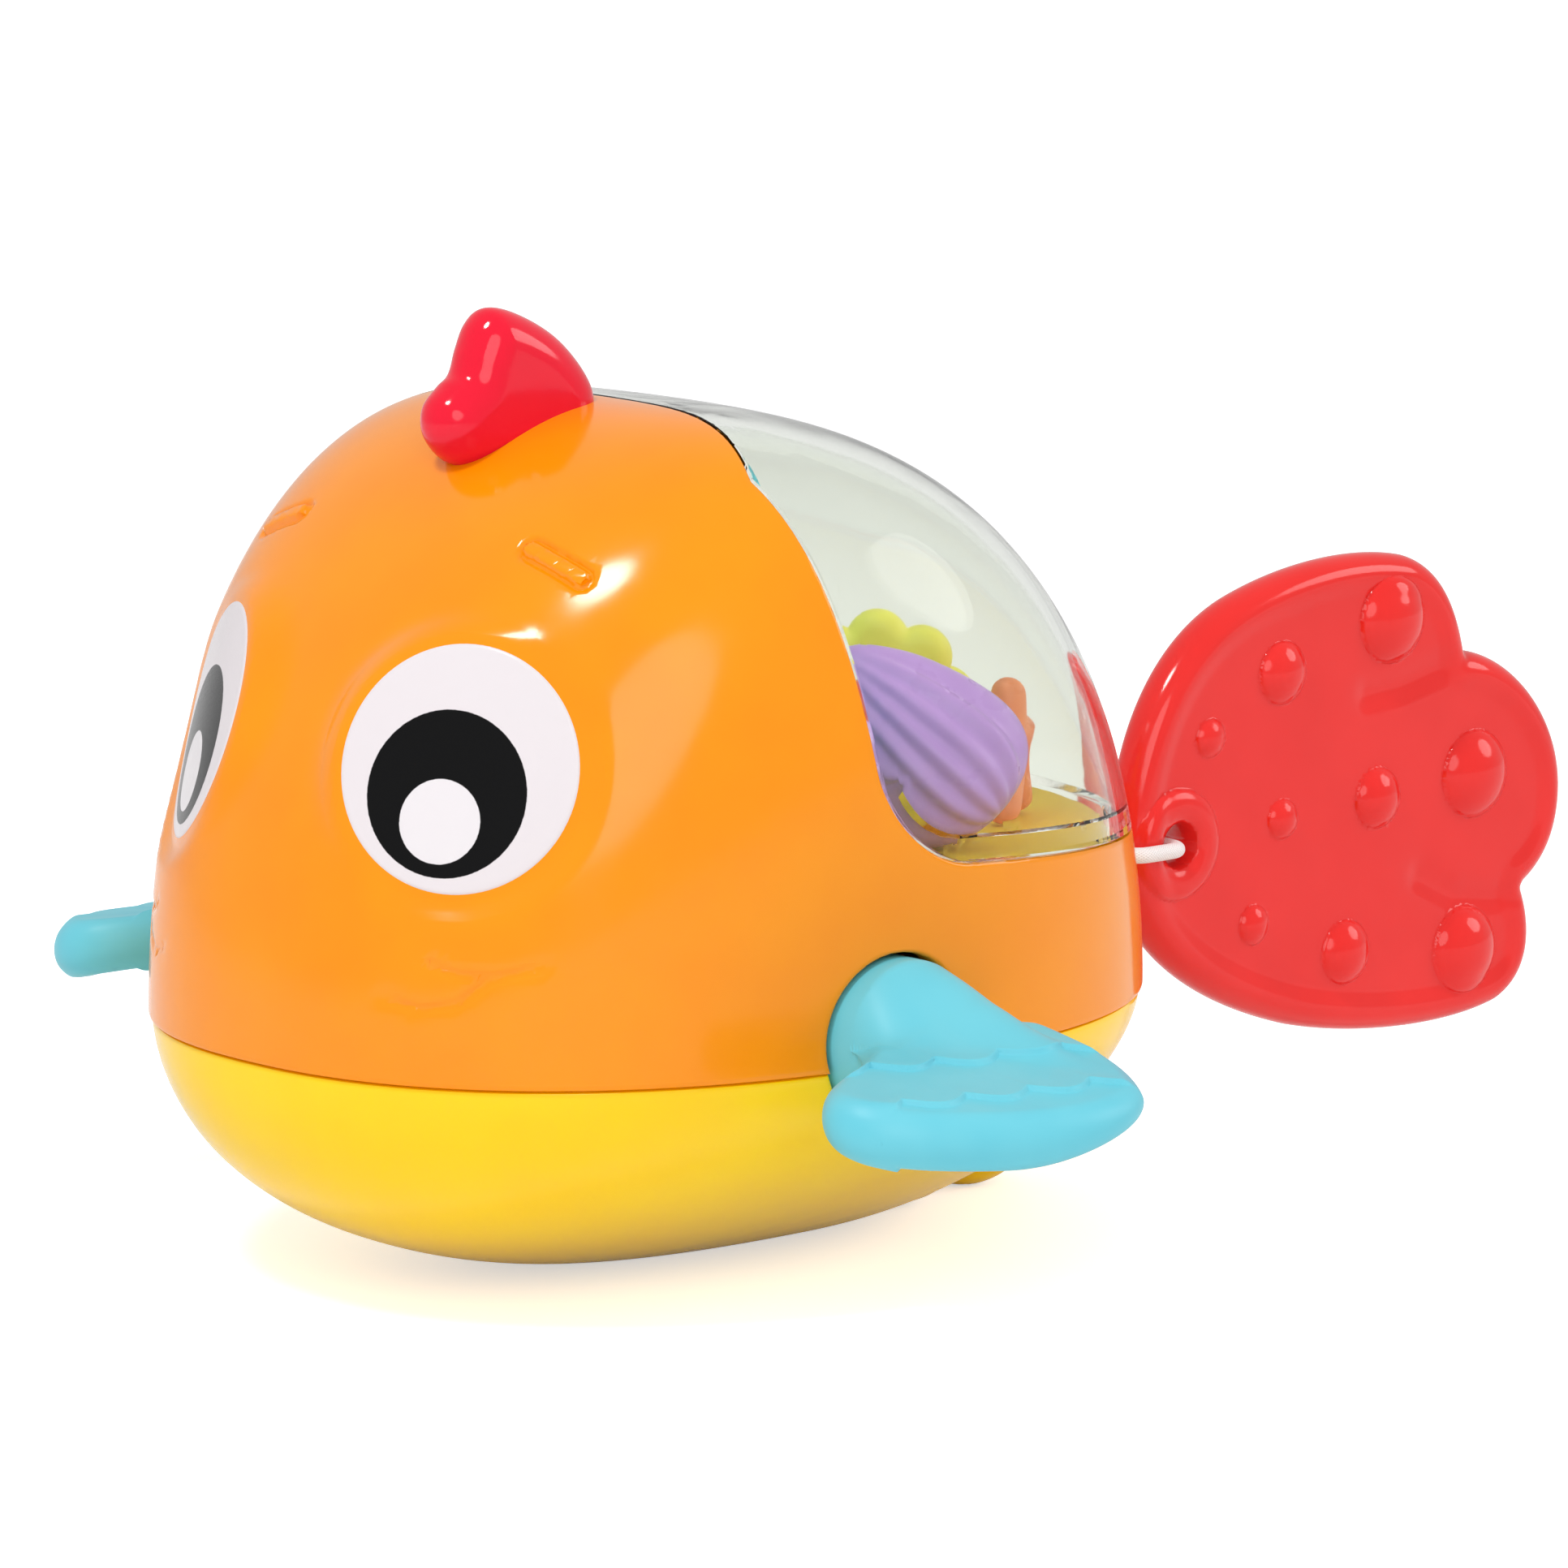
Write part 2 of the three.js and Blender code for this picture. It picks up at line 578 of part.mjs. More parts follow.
function gearSolid(teeth, x, z, firstTooth, bore) {
  const pitch = GEAR_MODULE * teeth / 2;
  const base = pitch * Math.cos(PRESSURE_ANGLE);
  const rootRadius = pitch - 1.25 * GEAR_MODULE;
  const tipRadius = pitch + 0.95 * GEAR_MODULE;
  const halfAtPitch = Math.PI / (2 * teeth) - GEAR_BACKLASH / (2 * pitch);
  function halfAngle(radius) {
    const slope = Math.acos(Math.min(base / radius, 1));
    return halfAtPitch + involute(PRESSURE_ANGLE) - involute(slope);
  }
  const radii = [rootRadius, pitch, tipRadius];
  const shape = new THREE.Shape();
  const points = [];
  for (let k = 0; k < teeth; k += 1) {
    const middle = firstTooth + 2 * Math.PI * k / teeth;
    for (const radius of radii) {
      points.push([radius, middle - halfAngle(radius)]);
    }
    for (const radius of [...radii].reverse()) {
      points.push([radius, middle + halfAngle(radius)]);
    }
  }
  shape.setFromPoints(points.map(([radius, angle]) => new THREE.Vector2(
    x + radius * Math.cos(angle),
    z + radius * Math.sin(angle),
  )));
  const hole = new THREE.Path();
  hole.absarc(x, z, bore, 0, 2 * Math.PI, true);
  shape.holes.push(hole);
  return sideSolid(shape, GEAR_WIDTH, GEAR_Y, 0, 8);
}

function buildGears() {
  const toAxle = Math.atan2(AXLE_Z - SPOOL_Z, AXLE_X - SPOOL_X);
  const toSpool = toAxle + Math.PI;
  const spoolGear = gearSolid(SPOOL_TEETH, SPOOL_X, SPOOL_Z, toAxle, SHAFT_RADIUS + SEAT_GAP);
  const halfTooth = Math.PI / PINION_TEETH;
  const pinion = gearSolid(PINION_TEETH, AXLE_X, AXLE_Z, toSpool + halfTooth, AXLE_RADIUS + SEAT_GAP);
  addPiece('spool_gear', spoolGear, NATURAL);
  addPiece('axle_pinion', pinion, NATURAL);
}

// Spool, shaft and mainspring

function buildSpool() {
  const bore = SHAFT_RADIUS + SEAT_GAP;
  const drum = WINDING_RADIUS - CORD_RADIUS - SEAT_GAP;
  const rightFace = GEAR_Y - GEAR_WIDTH / 2 - SEAT_GAP;
  const rightCheek = rightFace - FLANGE_THICK;
  const leftCheek = -WINDING_LOOPS * WINDING_PITCH - CORD_RADIUS - SEAT_GAP;
  const leftFace = leftCheek - FLANGE_THICK;
  const hubEnd = SEAT_GAP - PLATE_INNER_Y;
  const hub = bore + SPOOL_HUB_WALL;
  const solid = crossLathe([
    [bore, hubEnd], [hub, hubEnd], [hub, leftFace], [FLANGE_RADIUS, leftFace], [FLANGE_RADIUS, leftCheek],
    [drum, leftCheek], [drum, rightCheek], [FLANGE_RADIUS, rightCheek], [FLANGE_RADIUS, rightFace],
    [bore, rightFace],
  ], SPOOL_X, SPOOL_Z);
  addPiece('cord_spool', solid, NATURAL);
  const end = PLATE_INNER_Y + PLATE_THICK + SHAFT_PROUD;
  addPiece('spool_shaft', crossBar(SHAFT_RADIUS, SPOOL_X, SPOOL_Z, -end, end, 16), STEEL);
}

function buildSpring() {
  const gearFace = GEAR_Y + GEAR_WIDTH / 2;
  const springY = gearFace + DRUM_GAP + SPRING_WIDTH / 2;
  const steps = SPRING_TURNS * 12;
  const inside = [];
  const outside = [];
  for (let k = 0; k <= steps; k += 1) {
    const angle = 2 * Math.PI * SPRING_TURNS * k / steps;
    const radius = SPRING_INNER + (SPRING_OUTER - SPRING_INNER) * k / steps;
    const turn = new THREE.Vector2(Math.cos(angle), Math.sin(angle));
    inside.push(turn.clone().multiplyScalar(radius).add(new THREE.Vector2(SPOOL_X, SPOOL_Z)));
    outside.push(turn.clone().multiplyScalar(radius + SPRING_STRIP).add(new THREE.Vector2(SPOOL_X, SPOOL_Z)));
  }
  const shape = new THREE.Shape([...outside, ...inside.reverse()]);
  addPiece('mainspring', sideSolid(shape, SPRING_WIDTH, springY), STEEL);
  const wallInner = SPRING_OUTER + SPRING_STRIP + SEAT_GAP;
  const wallOuter = wallInner + DRUM_WALL;
  const mouth = gearFace + DRUM_GAP;
  const back = PLATE_INNER_Y - SEAT_GAP;
  const floor = springY + SPRING_WIDTH / 2 + SEAT_GAP;
  const bore = SHAFT_RADIUS + SEAT_GAP;
  const drum = crossLathe([
    [bore, back], [wallOuter, back], [wallOuter, mouth],
    [wallInner, mouth], [wallInner, floor], [bore, floor],
  ], SPOOL_X, SPOOL_Z);
  addPiece('spring_drum', drum, NATURAL);
}

// Gearbox frame: two plates round the axle and the spool, held apart by four spacers

function plateShape() {
  const away = Math.atan2(AXLE_Z - SPOOL_Z, AXLE_X - SPOOL_X);
  const spread = Math.acos((PLATE_SPOOL_RADIUS - PLATE_AXLE_RADIUS) / GEAR_CENTRES);
  const shape = new THREE.Shape();
  shape.absarc(SPOOL_X, SPOOL_Z, PLATE_SPOOL_RADIUS, away + spread, away - spread + 2 * Math.PI, false);
  shape.absarc(AXLE_X, AXLE_Z, PLATE_AXLE_RADIUS, away - spread, away + spread, false);
  const shaftHole = new THREE.Path();
  shaftHole.absarc(SPOOL_X, SPOOL_Z, SHAFT_RADIUS + SEAT_GAP, 0, 2 * Math.PI, true);
  const axleHole = new THREE.Path();
  axleHole.absarc(AXLE_X, AXLE_Z, AXLE_RADIUS + AXLE_BUSH_WALL + 2 * SEAT_GAP, 0, 2 * Math.PI, true);
  shape.holes.push(shaftHole, axleHole);
  return shape;
}

function spacerPlaces() {
  function around(x, z, plateRadius, degrees) {
    const reach = plateRadius - SPACER_RADIUS - SPACER_EDGE;
    const angle = THREE.MathUtils.degToRad(degrees);
    return [x + reach * Math.cos(angle), z + reach * Math.sin(angle)];
  }
  return [
    ...SPOOL_SPACERS.map((degrees) => around(SPOOL_X, SPOOL_Z, PLATE_SPOOL_RADIUS, degrees)),
    ...AXLE_SPACERS.map((degrees) => around(AXLE_X, AXLE_Z, PLATE_AXLE_RADIUS, degrees)),
  ];
}

function screwSolid(head, tip) {
  const down = tip.clone().sub(head).normalize();
  const headEnd = head.clone().add(down.clone().multiplyScalar(-SCREW_HEAD_THICK));
  const shank = bar(SCREW_RADIUS, headEnd, tip, 8);
  return bar(SCREW_HEAD_RADIUS, headEnd, head, 12).add(shank);
}

function buildGearbox() {
  const outerFace = PLATE_INNER_Y + PLATE_THICK;
  const middle = PLATE_INNER_Y + PLATE_THICK / 2;
  const screws = [];
  const feet = [];
  for (const side of [-1, 1]) {
    let plate = sideSolid(plateShape(), PLATE_THICK, side * middle, 0, 10);
    for (const place of postPlaces().filter((p) => Math.sign(p.y) === side)) {
      const half = TAB_SIZE / 2;
      const near = side * (outerFace - PLATE_THICK / 2);
      const far = side * (outerFace + TAB_SIZE);
      const low = Math.min(near, far);
      const high = Math.max(near, far);
      const tab = box(place.x - half, place.x + half, low, high, place.z, place.z + TAB_THICK);
      const under = place.clone().setZ(place.z - TAB_THICK);
      const over = place.clone().setZ(place.z + 2 * TAB_THICK);
      const hole = bar(SCREW_RADIUS + SEAT_GAP, under, over, 8);
      plate = plate.add(tab).subtract(hole);
      const head = place.clone().setZ(place.z + TAB_THICK + SEAT_GAP);
      feet.push(screwSolid(head, head.clone().setZ(head.z - SCREW_LENGTH)));
    }
    for (const [x, z] of spacerPlaces()) {
      if (side < 0) {
        plate = plate.add(crossBar(SPACER_RADIUS, x, z, -middle, PLATE_INNER_Y - SEAT_GAP, 12));
        const pilotEnd = PLATE_INNER_Y - SCREW_LENGTH;
        plate = plate.subtract(crossBar(SCREW_RADIUS + SEAT_GAP, x, z, pilotEnd, outerFace, 8));
      } else {
        plate = plate.subtract(crossBar(SCREW_RADIUS + SEAT_GAP, x, z, 0, outerFace + PLATE_THICK, 8));
        const head = new THREE.Vector3(x, outerFace + SEAT_GAP, z);
        screws.push(screwSolid(head, head.clone().setY(head.y - SCREW_LENGTH)));
      }
    }
    addPiece(side < 0 ? 'gearbox_left' : 'gearbox_right', plate, NATURAL);
    const flangeOut = PLATE_INNER_Y - SEAT_GAP;
    const flangeIn = flangeOut - AXLE_BUSH_FLANGE_THICK;
    const end = outerFace + AXLE_BUSH_PROUD;
    const bore = AXLE_RADIUS + SEAT_GAP;
    const body = bore + AXLE_BUSH_WALL;
    const flange = body + AXLE_BUSH_FLANGE;
    const half = [
      [bore, flangeIn], [flange, flangeIn], [flange, flangeOut], [body, flangeOut], [body, end], [bore, end],
    ];
    const bush = crossLathe(half.map(([radius, y]) => [radius, side * y]), AXLE_X, AXLE_Z, 14);
    addPiece(side < 0 ? 'left_axle_bush' : 'right_axle_bush', bush, STEEL);
  }
  screws.forEach((screw, k) => addPiece(`gearbox_screw_${k + 1}`, screw, STEEL));
  feet.forEach((screw, k) => addPiece(`foot_screw_${k + 1}`, screw, STEEL));
}

// Cord

// A tube of a few sides along a list of points
function tubeSolid(points, radius, sides) {
  const rings = points.map((point, k) => {
    const ahead = points[Math.min(k + 1, points.length - 1)];
    const behind = points[Math.max(k - 1, 0)];
    const along = ahead.clone().sub(behind).normalize();
    const across = new THREE.Vector3(0, 1, 0).addScaledVector(along, -along.y).normalize();
    const third = along.clone().cross(across);
    const ring = [];
    for (let s = 0; s < sides; s += 1) {
      const angle = 2 * Math.PI * s / sides;
      const spoke = across.clone().multiplyScalar(Math.cos(angle)).addScaledVector(third, Math.sin(angle));
      ring.push(point.clone().addScaledVector(spoke, radius));
    }
    return ring;
  });
  return ringSolid(points[0], rings, points[points.length - 1]);
}

function windingPoints() {
  const steps = WINDING_LOOPS * 24;
  const points = [];
  for (let k = 0; k <= steps; k += 1) {
    const turns = WINDING_LOOPS * (k / steps - 1);
    const angle = 2 * Math.PI * turns;
    points.push(new THREE.Vector3(
      SPOOL_X + WINDING_RADIUS * Math.sin(angle),
      WINDING_PITCH * turns,
      SPOOL_Z + WINDING_RADIUS * Math.cos(angle),
    ));
  }
  const last = points[points.length - 1];
  points.push(last.clone().setX(last.x + 2 * CORD_RADIUS));
  return points;
}

// The least distance between turns that are more than half a turn apart, less the cord's thickness
function leastGap(points) {
  let least = Infinity;
  for (let a = 0; a < points.length; a += 1) {
    for (let b = a + 12; b < points.length; b += 1) {
      least = Math.min(least, points[a].distanceTo(points[b]));
    }
  }
  return least - 2 * CORD_RADIUS;
}

function buildCord() {
  const winding = windingPoints();
  console.log(`cord winding: least gap between turns ${leastGap(winding).toFixed(2)} mm`);
  addPiece('cord_winding', tubeSolid(winding, CORD_RADIUS, 6), CORD);
  const loopFront = TAIL_FRONT_X - CORD_RADIUS - 2 * SEAT_GAP;
  const knotX = loopFront - KNOT_RADIUS - CORD_RADIUS / 2;
  const startX = SPOOL_X + 2 * CORD_RADIUS + SEAT_GAP;
  const endX = knotX - KNOT_RADIUS - SEAT_GAP;
  const from = new THREE.Vector3(startX, 0, CORD_Z);
  const to = new THREE.Vector3(endX, 0, CORD_Z);
  addPiece('pull_cord', bar(CORD_RADIUS, from, to, 8), CORD);
  const loopBack = EYELET_X - EYELET_HOLE + CORD_RADIUS + 2 * SEAT_GAP;
  const halfLong = (loopBack - loopFront) / 2;
  const halfWide = TAIL_THICK / 2 + EYELET_RAISE + CORD_RADIUS + SEAT_GAP;
  const loop = [];
  const steps = 24;
  for (let k = 0; k < steps; k += 1) {
    const angle = 2 * Math.PI * k / steps;
    const x = (loopBack + loopFront) / 2 + halfLong * signedPower(Math.cos(angle), LOOP_POWER);
    loop.push(new THREE.Vector3(x, halfWide * signedPower(Math.sin(angle), LOOP_POWER), CORD_Z));
  }
  const knot = new THREE.SphereGeometry(KNOT_RADIUS, 12, 8);
  knot.translate(knotX, 0, CORD_Z);
  const neck = bar(
    CORD_RADIUS,
    new THREE.Vector3(knotX, 0, CORD_Z),
    new THREE.Vector3(loopFront, 0, CORD_Z),
    8,
  );
  addPiece('cord_loop', ringTube(loop, CORD_RADIUS, 6).add(toSolid(knot)).add(neck), CORD);
}

// A closed ring of cord in a level plane
function ringTube(points, radius, sides) {
  const count = points.length;
  const corners = [];
  const faces = [];
  points.forEach((point, k) => {
    const along = points[(k + 1) % count].clone().sub(points[(k + count - 1) % count]).normalize();
    const out = new THREE.Vector3(along.y, -along.x, 0);
    for (let s = 0; s < sides; s += 1) {
      const angle = 2 * Math.PI * s / sides;
      const place = point.clone().addScaledVector(out, radius * Math.cos(angle));
      corners.push(place.x, place.y, place.z + radius * Math.sin(angle));
      const a = k * sides + s;
      const b = k * sides + (s + 1) % sides;
      const c = ((k + 1) % count) * sides + s;
      const d = ((k + 1) % count) * sides + (s + 1) % sides;
      faces.push(a, d, b, a, c, d);
    }
  });
  const geometry = new THREE.BufferGeometry();
  geometry.setAttribute('position', new THREE.Float32BufferAttribute(corners, 3));
  geometry.setIndex(faces);
  return toSolid(geometry);
}

function buildBush() {
  const start = BODY_REAR - BUSH_LENGTH;
  const seat = BODY_REAR + SEAT_GAP;
  const axis = (x) => new THREE.Vector3(x, 0, CORD_Z);
  const tube = bar(BUSH_RADIUS, axis(start), axis(seat + BUSH_FLANGE_THICK / 2), 16);
  const flange = bar(BUSH_FLANGE_RADIUS, axis(seat), axis(seat + BUSH_FLANGE_THICK), 24);
  const bore = bar(CORD_RADIUS + SEAT_GAP, axis(0), axis(FAR), 12);
  addPiece('cord_bush', tube.add(flange).subtract(bore), NATURAL);
}

// Tail: a fan with three rear lobes, rows of raised dots on both faces and an eyelet for the cord

// The outline runs over the three lobes and back, in shares of the tail's length and height
function tailShape() {
  function at(along, up) {
    return [TAIL_FRONT_X + along * TAIL_LENGTH, CORD_Z + up * TAIL_HEIGHT];
  }
  const shape = new THREE.Shape();
  shape.moveTo(...at(0, 0));
  shape.bezierCurveTo(...at(0.0, 0.1912), ...at(0.0769, 0.3971), ...at(0.2426, 0.4735));
  shape.bezierCurveTo(...at(0.3728, 0.5294), ...at(0.5266, 0.5441), ...at(0.6331, 0.5147));
  shape.bezierCurveTo(...at(0.716, 0.4853), ...at(0.7515, 0.3971), ...at(0.7692, 0.3015));
  shape.bezierCurveTo(...at(0.8817, 0.2868), ...at(1.0, 0.1471), ...at(1.0, -0.0074));
  shape.bezierCurveTo(...at(1.0, -0.1029), ...at(0.9645, -0.1691), ...at(0.9112, -0.2059));
  shape.bezierCurveTo(...at(0.9467, -0.3088), ...at(0.929, -0.4044), ...at(0.8521, -0.4412));
  shape.bezierCurveTo(...at(0.7396, -0.4779), ...at(0.5266, -0.4632), ...at(0.3728, -0.4118));
  shape.bezierCurveTo(...at(0.1716, -0.3382), ...at(0.0, -0.2059), ...at(0.0, 0.0));
  return shape;
}

// Dots: shares of the tail's length and height from the eyelet end, and radius
const TAIL_DOTS = [
  [0.173, 0.204, 2.4], [0.334, 0.315, 3.9], [0.583, 0.391, 5.4],
  [0.337, 0.018, 2.5], [0.555, 0.029, 3.8], [0.781, 0.049, 5.5],
  [0.273, -0.188, 2.5], [0.484, -0.276, 4], [0.761, -0.313, 5.4],
];

function buildTail() {
  let tail = sideSolid(tailShape(), TAIL_THICK, 0, TAIL_EDGE, 6);
  const ring = TAIL_THICK / 2 + EYELET_RAISE;
  tail = tail.add(crossBar(EYELET_RING, EYELET_X, CORD_Z, -ring, ring, 24));
  for (const [along, up, radius] of TAIL_DOTS) {
    const rise = radius * DOT_RISE;
    const ball = (radius ** 2 + rise ** 2) / (2 * rise);
    const cut = Math.acos((ball - rise - DOT_SINK) / ball);
    for (const side of [-1, 1]) {
      const profilePoints = [new THREE.Vector2(0, ball * Math.cos(cut))];
      for (let k = 2; k >= 0; k -= 1) {
        const lean = cut * k / 2;
        profilePoints.push(new THREE.Vector2(ball * Math.sin(lean), ball * Math.cos(lean)));
      }
      const dot = new THREE.LatheGeometry(profilePoints, 10);
      dot.translate(0, TAIL_THICK / 2 + rise - ball, 0);
      if (side < 0) {
        dot.rotateX(Math.PI);
      }
      dot.translate(TAIL_FRONT_X + along * TAIL_LENGTH, 0, CORD_Z + up * TAIL_HEIGHT);
      tail = tail.add(toSolid(dot));
    }
  }
  tail = tail.subtract(crossBar(EYELET_HOLE, EYELET_X, CORD_Z, -FAR, FAR, 20));
  addPiece('tail_paddle', tail, RED);
}

// Loose play pieces in the compartment

// A ridged scallop: an egg whose skin waves round the axis through its hinge
function buildScallop() {
  const [halfLong, halfWide, halfTall] = SCALLOP_HALF;
  const rings = [];
  const sides = 40;
  const levels = 8;
  for (let k = 1; k < levels; k += 1) {
    const angle = Math.PI * k / levels;
    const ring = [];
    for (let s = 0; s < sides; s += 1) {
      const around = 2 * Math.PI * s / sides;
      const wave = 1 + SCALLOP_RIB_HEIGHT * Math.cos(SCALLOP_RIBS * around) * Math.sin(angle);
      const wide = Math.sin(angle) * (1 - SCALLOP_TAPER * Math.cos(angle));
      ring.push(new THREE.Vector3(
        halfLong * wide * wave * Math.cos(around),
        halfWide * wide * wave * Math.sin(around),
        -halfTall * Math.cos(angle),
      ));
    }
    rings.push(ring);
  }
  const geometry = ringSolid(new THREE.Vector3(0, 0, -halfTall), rings, new THREE.Vector3(0, 0, halfTall));
  geometry.rotateX(THREE.MathUtils.degToRad(SCALLOP_TILT[0]));
  geometry.rotateY(THREE.MathUtils.degToRad(SCALLOP_TILT[1]));
  seatOnTray(geometry, SCALLOP_PLACE);
  addPiece('scallop_rattle', toSolid(geometry), PURPLE);
}

function seatOnTray(geometry, [x, y]) {
  geometry.computeBoundingBox();
  geometry.translate(x, y, TRAY_TOP_Z + SEAT_GAP - geometry.boundingBox.min.z);
}

// A flat star with rounded edges, lying on the tray
function starSolid(arms, [outerRadius, innerRadius], turn, place) {
  const points = [];
  for (let k = 0; k < 2 * arms; k += 1) {
    const radius = k % 2 ? innerRadius : outerRadius;
    const angle = Math.PI / 2 + Math.PI * k / arms;
    points.push(new THREE.Vector2(radius * Math.cos(angle), radius * Math.sin(angle)));
  }
  const star = new THREE.ExtrudeGeometry(new THREE.Shape(points), {
    depth: STAR_DEPTH,
    bevelThickness: STAR_EDGE,
    bevelSize: STAR_EDGE,
    bevelSegments: 2,
  });
  star.rotateX(Math.PI / 2);
  star.rotateZ(THREE.MathUtils.degToRad(turn));
  seatOnTray(star, place);
  return toSolid(star);
}

function buildStars() {
  addPiece('starfish_rattle', starSolid(5, STAR_RADII, STAR_TURN, STAR_PLACE), SALMON);
  addPiece('anemone_rattle', starSolid(9, ANEMONE_RADII, ANEMONE_TURN, ANEMONE_PLACE), YELLOW);
}

buildBody();
buildCompartment();
buildCrest();
buildFins();
buildGears();
buildSpool();
buildSpring();
buildGearbox();
buildCord();
buildBush();
buildTail();
buildScallop();
buildStars();

export default fish;
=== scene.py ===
# Swimming fish bath toy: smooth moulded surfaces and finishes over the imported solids.
# Points are worked out in millimetres and turned to metres when a mesh is made.
import json
import math

import bpy
import numpy as np
from mathutils import Matrix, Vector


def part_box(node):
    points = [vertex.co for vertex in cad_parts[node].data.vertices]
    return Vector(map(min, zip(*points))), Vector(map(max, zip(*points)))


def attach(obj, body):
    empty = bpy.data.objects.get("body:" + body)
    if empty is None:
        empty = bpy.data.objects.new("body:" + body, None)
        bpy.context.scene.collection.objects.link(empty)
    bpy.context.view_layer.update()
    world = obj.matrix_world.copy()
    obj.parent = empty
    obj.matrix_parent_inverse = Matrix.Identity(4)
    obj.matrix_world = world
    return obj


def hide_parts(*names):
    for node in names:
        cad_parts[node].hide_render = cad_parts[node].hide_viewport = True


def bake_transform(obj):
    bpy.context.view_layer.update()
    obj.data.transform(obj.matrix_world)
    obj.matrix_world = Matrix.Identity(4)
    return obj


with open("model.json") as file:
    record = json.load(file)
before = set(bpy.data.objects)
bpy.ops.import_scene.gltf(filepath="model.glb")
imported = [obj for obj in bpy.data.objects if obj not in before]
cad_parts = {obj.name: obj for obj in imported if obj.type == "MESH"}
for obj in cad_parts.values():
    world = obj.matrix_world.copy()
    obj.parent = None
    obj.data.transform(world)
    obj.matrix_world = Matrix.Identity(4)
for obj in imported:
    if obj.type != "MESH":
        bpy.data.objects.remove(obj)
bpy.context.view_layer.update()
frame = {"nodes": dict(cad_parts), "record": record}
nodes = frame["nodes"]
metres = 0.001  # in one millimetre
fullTurn = 2 * math.pi
print("frame loaded:", len(nodes), "nodes")


# Meshes

# vectors divided by their lengths
def unit(v):
    v = np.asarray(v, float)
    return v / np.linalg.norm(v, axis=-1, keepdims=True)


# angles in equal steps round a full turn
def roundAngles(count):
    return np.arange(count) * fullTurn / count


# a grid of rows and columns as triangles, the columns closed into rings
def gridTriangles(rows, columns):
    r, c = np.meshgrid(np.arange(rows - 1), np.arange(columns), indexing="ij")
    a = (r * columns + c).ravel()
    b = (r * columns + (c + 1) % columns).ravel()
    return np.concatenate([np.stack([a, b, b + columns], 1), np.stack([a, b + columns, a + columns], 1)])


# triangles from a ring of points to one pole
def fan(ring, pole, outward=True):
    nextOne = np.roll(ring, -1)
    poles = np.full(len(ring), pole)
    return np.stack([ring, nextOne, poles] if outward else [nextOne, ring, poles], 1)


# the area-weighted mean of the faces round each point
def pointNormals(points, triangles):
    a, b, c = points[triangles].transpose(1, 0, 2)
    across = np.cross(b - a, c - a)
    total = np.zeros_like(points)
    np.add.at(total, triangles.ravel(), np.repeat(across, 3, 0))
    return total / np.maximum(np.linalg.norm(total, axis=1, keepdims=True), 1e-12)


# every triangle that crosses a level of a field is cut there, so the level becomes a line of edges
def splitAt(points, triangles, field, level):
    value = field(points) - level
    above = value[triangles] > 0
    count = above.sum(1)
    crossing = (count == 1) | (count == 2)
    if not crossing.any():
        return points, triangles
    lone = np.where(count[crossing] == 1, above[crossing].argmax(1), (~above[crossing]).argmax(1))
    a, b, c = np.take_along_axis(triangles[crossing], (lone[:, None] + np.arange(3)) % 3, 1).T
    edges = np.sort(np.concatenate([np.stack([a, b], 1), np.stack([a, c], 1)]), 1)
    pairs, index = np.unique(edges, axis=0, return_inverse=True)
    first, second = pairs.T
    share = value[first] / (value[first] - value[second])
    fresh = points[first] + share[:, None] * (points[second] - points[first])
    ab, ac = index.reshape(2, -1) + len(points)
    parts = [np.stack(t, 1) for t in ((a, ab, ac), (ab, b, c), (ab, c, ac))]
    return np.concatenate([points, fresh]), np.concatenate([triangles[~crossing], *parts])


# only the triangles whose middle passes a test, with the unused points dropped
def keepWhere(points, triangles, test):
    kept = triangles[test(points[triangles].mean(1))]
    used, index = np.unique(kept, return_inverse=True)
    return points[used], index.reshape(-1, 3)


# edges that only one triangle uses, in that triangle's own direction
def openEdges(triangles):
    edges = np.concatenate([triangles[:, [0, 1]], triangles[:, [1, 2]], triangles[:, [2, 0]]])
    size = triangles.max() + 1
    code = edges[:, 0] * size + edges[:, 1]
    return edges[~np.isin(code, edges[:, 1] * size + edges[:, 0])]


# a skin and its inner wall, joined round every open edge
def thicken(points, triangles, inner):
    count = len(points)
    a, b = openEdges(triangles).T
    rim = np.concatenate([np.stack([b, a, a + count], 1), np.stack([b, a + count, b + count], 1)])
    return np.concatenate([points, inner]), np.concatenate([triangles, triangles[:, ::-1] + count, rim])


# several meshes as one, with the later ones' point numbers moved up
def joinMeshes(parts):
    offset = np.cumsum([0] + [len(p) for p, t in parts])
    points = np.concatenate([p for p, t in parts])
    return points, np.concatenate([t + k for (p, t), k in zip(parts, offset)])


